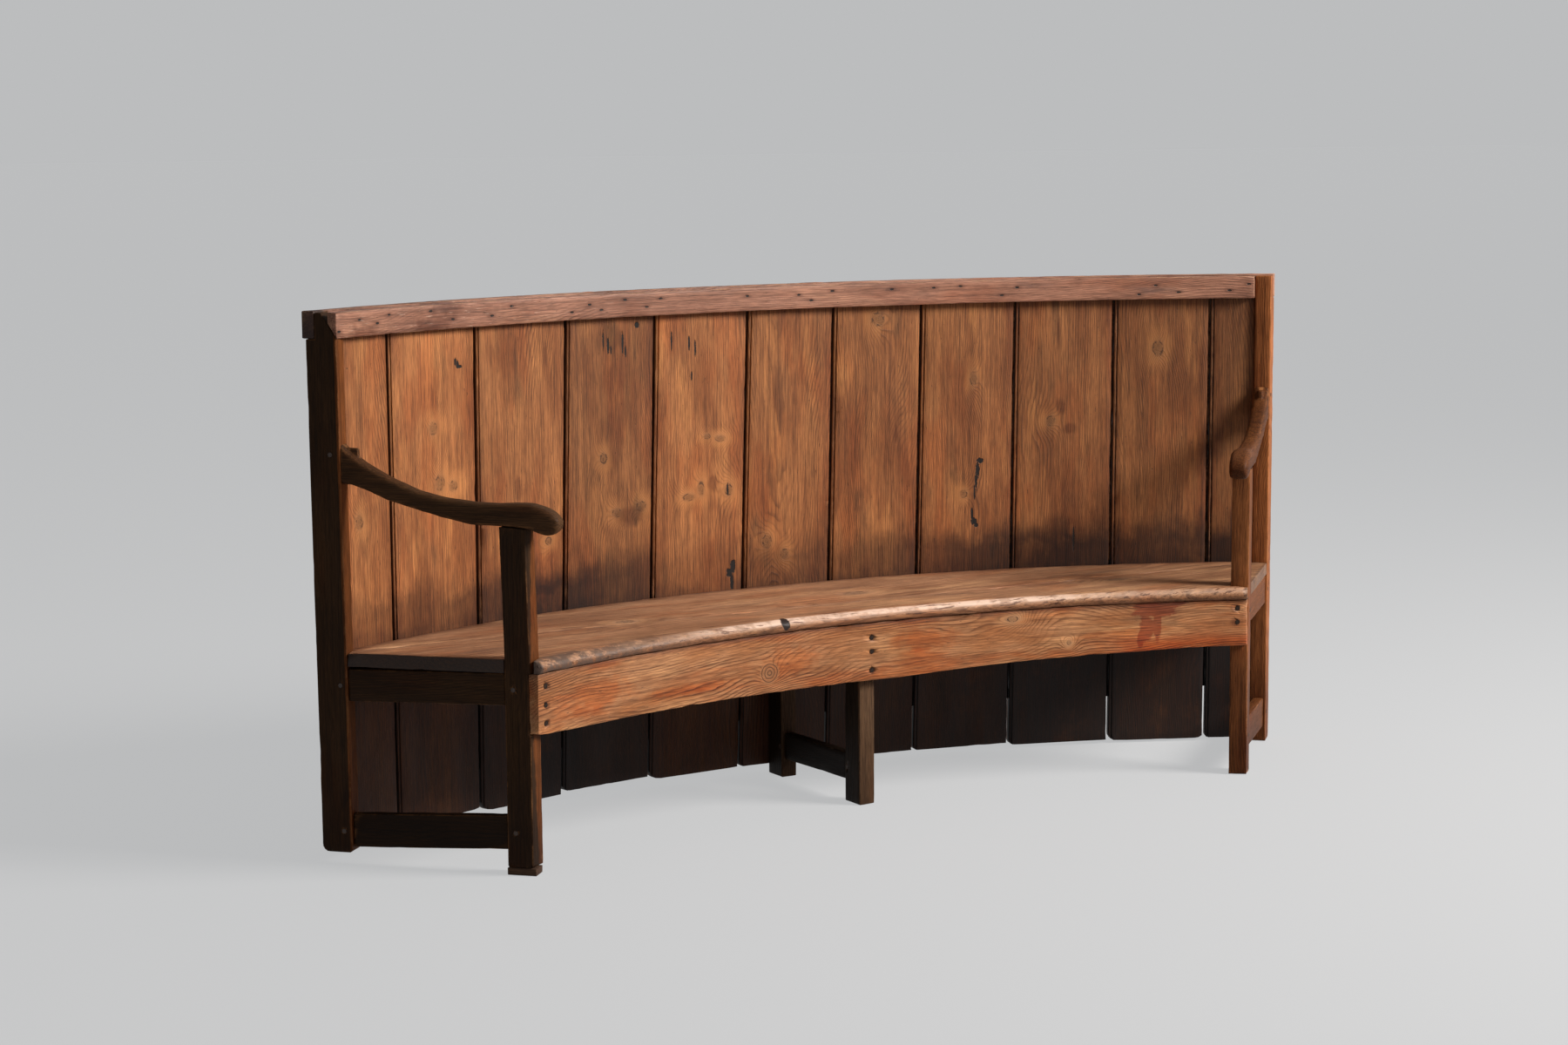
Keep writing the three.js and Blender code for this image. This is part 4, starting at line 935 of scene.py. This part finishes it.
# Packing: a scrap of pine sawn to a short block and pushed under the left front leg, where it takes
# up the fall of the floor. The weight of the bench keeps it there.
packing = sawn("left_foot_packing", 0.0015, [(forward["left"], 0.012)])
weathered(packing, 0.0005, 0.003, 70.0)
grain = straight_grain(Vector((-0.95, -0.28, 0.0)), forward["left"], up)
made(packing, "packing_worn", "left_foot_packing", hidden_pine, grain, 70.0)

# Pegs and nails: split oak pegs driven through the joints and cut off just proud, with dark end
# grain, and rusted wrought nails through the apron into the legs.


def end_grain(name, colour, ring_colour):
    material = bpy.data.materials.new(name)
    material.use_nodes = True
    tree = material.node_tree
    shader = tree.nodes["Principled BSDF"]
    body = step(tree, "ShaderNodeTexCoord", {}).outputs["Object"]
    speckle = cloud(tree, body, 420.0, 4.0, 0.7)
    broad = cloud(tree, body, 60.0, 3.0)
    mixed = tint(tree, ease_in(tree, speckle, 0.4, 0.65), colour, ring_colour)
    mixed = tint(tree, ease_in(tree, broad, 0.4, 0.7, 0.0, 0.6), mixed, ring_colour)
    tree.links.new(mixed, shader.inputs["Base Color"])
    tree.links.new(swing(tree, speckle, 0.35, 0.4), shader.inputs["Roughness"])
    feeds = {"Height": speckle, "Strength": 0.6, "Distance": 0.0006}
    tree.links.new(step(tree, "ShaderNodeBump", feeds).outputs[0], shader.inputs["Normal"])
    return material


peg_wood = end_grain("peg end grain", (0.05, 0.024, 0.013, 1.0), (0.014, 0.007, 0.004, 1.0))
rusted_iron = end_grain("rusted nail iron", (0.04, 0.019, 0.011, 1.0), (0.012, 0.008, 0.006, 1.0))
rusted_iron.node_tree.nodes["Principled BSDF"].inputs["Specular IOR Level"].default_value = 0.15
for name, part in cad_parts.items():
    if name.endswith("_peg") or "_nail_" in name:
        part.data.materials.clear()
        part.data.materials.append(peg_wood if name.endswith("_peg") else rusted_iron)

# Studio: a plain pale floor that runs out to the horizon, where it meets air of the same colour, a
# large soft key light high on the right, a weak fill from the left, and the photograph's viewpoint.


def seen_directly(tree):
    """1 where a thing is seen, also mirrored or through glass, and 0 where it only gives light."""
    ray = step(tree, "ShaderNodeLightPath", {}).outputs
    seen = calc(tree, "MAXIMUM", ray["Is Glossy Ray"], ray["Is Transmission Ray"])
    return calc(tree, "MAXIMUM", ray["Is Camera Ray"], seen)


floor_mesh = bmesh.new()
bmesh.ops.create_grid(floor_mesh, x_segments=1, y_segments=1, size=150.0)
floor_data = bpy.data.meshes.new("studio_floor")
floor_mesh.to_mesh(floor_data)
floor_mesh.free()
floor = bpy.data.objects.new("studio_floor", floor_data)
bpy.context.scene.collection.objects.link(floor)
paper = bpy.data.materials.new("pale studio paper")
paper.use_nodes = True
sheet = paper.node_tree
matt = sheet.nodes["Principled BSDF"]
matt.inputs["Base Color"].default_value = (0.34, 0.34, 0.345, 1.0)
matt.inputs["Roughness"].default_value = 0.9
matt.inputs["Specular IOR Level"].default_value = 0.2
glow = {"Color": (0.95, 0.96, 0.97, 1.0), "Strength": 1.0}
glow = step(sheet, "ShaderNodeEmission", glow).outputs[0]
half_seen = times(sheet, seen_directly(sheet), 0.5)
blend = step(sheet, "ShaderNodeMixShader", {0: half_seen, 1: matt.outputs[0], 2: glow})
sheet.links.new(blend.outputs[0], sheet.nodes["Material Output"].inputs["Surface"])
floor_data.materials.append(paper)

world = bpy.data.worlds.new("studio air")
bpy.context.scene.world = world
world.use_nodes = True
air = world.node_tree
dim = air.nodes["Background"]
dim.inputs["Color"].default_value = (0.96, 0.98, 1.0, 1.0)
dim.inputs["Strength"].default_value = 0.09
haze = {"Color": (0.503, 0.509, 0.515, 1.0), "Strength": 1.0}
haze = step(air, "ShaderNodeBackground", haze).outputs[0]
blend = step(air, "ShaderNodeMixShader", {0: seen_directly(air), 1: dim.outputs[0], 2: haze})
air.links.new(blend.outputs[0], air.nodes["World Output"].inputs["Surface"])


def soft_lamp(name, place, aim, size, power, colour):
    data = bpy.data.lights.new(name, "AREA")
    data.shape = "DISK"
    data.size = size
    data.energy = power
    data.color = colour
    lamp = bpy.data.objects.new(name, data)
    lamp.location = place
    lamp.rotation_euler = (Vector(aim) - Vector(place)).to_track_quat("-Z", "Y").to_euler()
    bpy.context.scene.collection.objects.link(lamp)
    return lamp


soft_lamp("key_lamp", (4.3, -4.1, 4.2), (-0.2, 0.0, 0.6), 2.8, 660.0, (1.0, 0.965, 0.92))
soft_lamp("fill_lamp", (-4.5, -3.5, 2.6), (0.0, 0.0, 0.6), 3.0, 10.0, (0.95, 0.97, 1.0))

camera_data = bpy.data.cameras.new("photo_camera")
camera_data.sensor_width = 36.0
camera_data.lens = 69.246
camera = bpy.data.objects.new("photo_camera", camera_data)
turn = Matrix.Rotation(math.radians(-29.976), 4, "Z")
tip = Matrix.Rotation(math.radians(90.0 - 7.467), 4, "X")
lean = Matrix.Rotation(math.radians(-0.423), 4, "Z")
camera.matrix_world = Matrix.Translation((-3.5747, -5.9365, 1.5554)) @ turn @ tip @ lean
bpy.context.scene.collection.objects.link(camera)
bpy.context.scene.camera = camera
bpy.context.scene.view_settings.view_transform = "Standard"
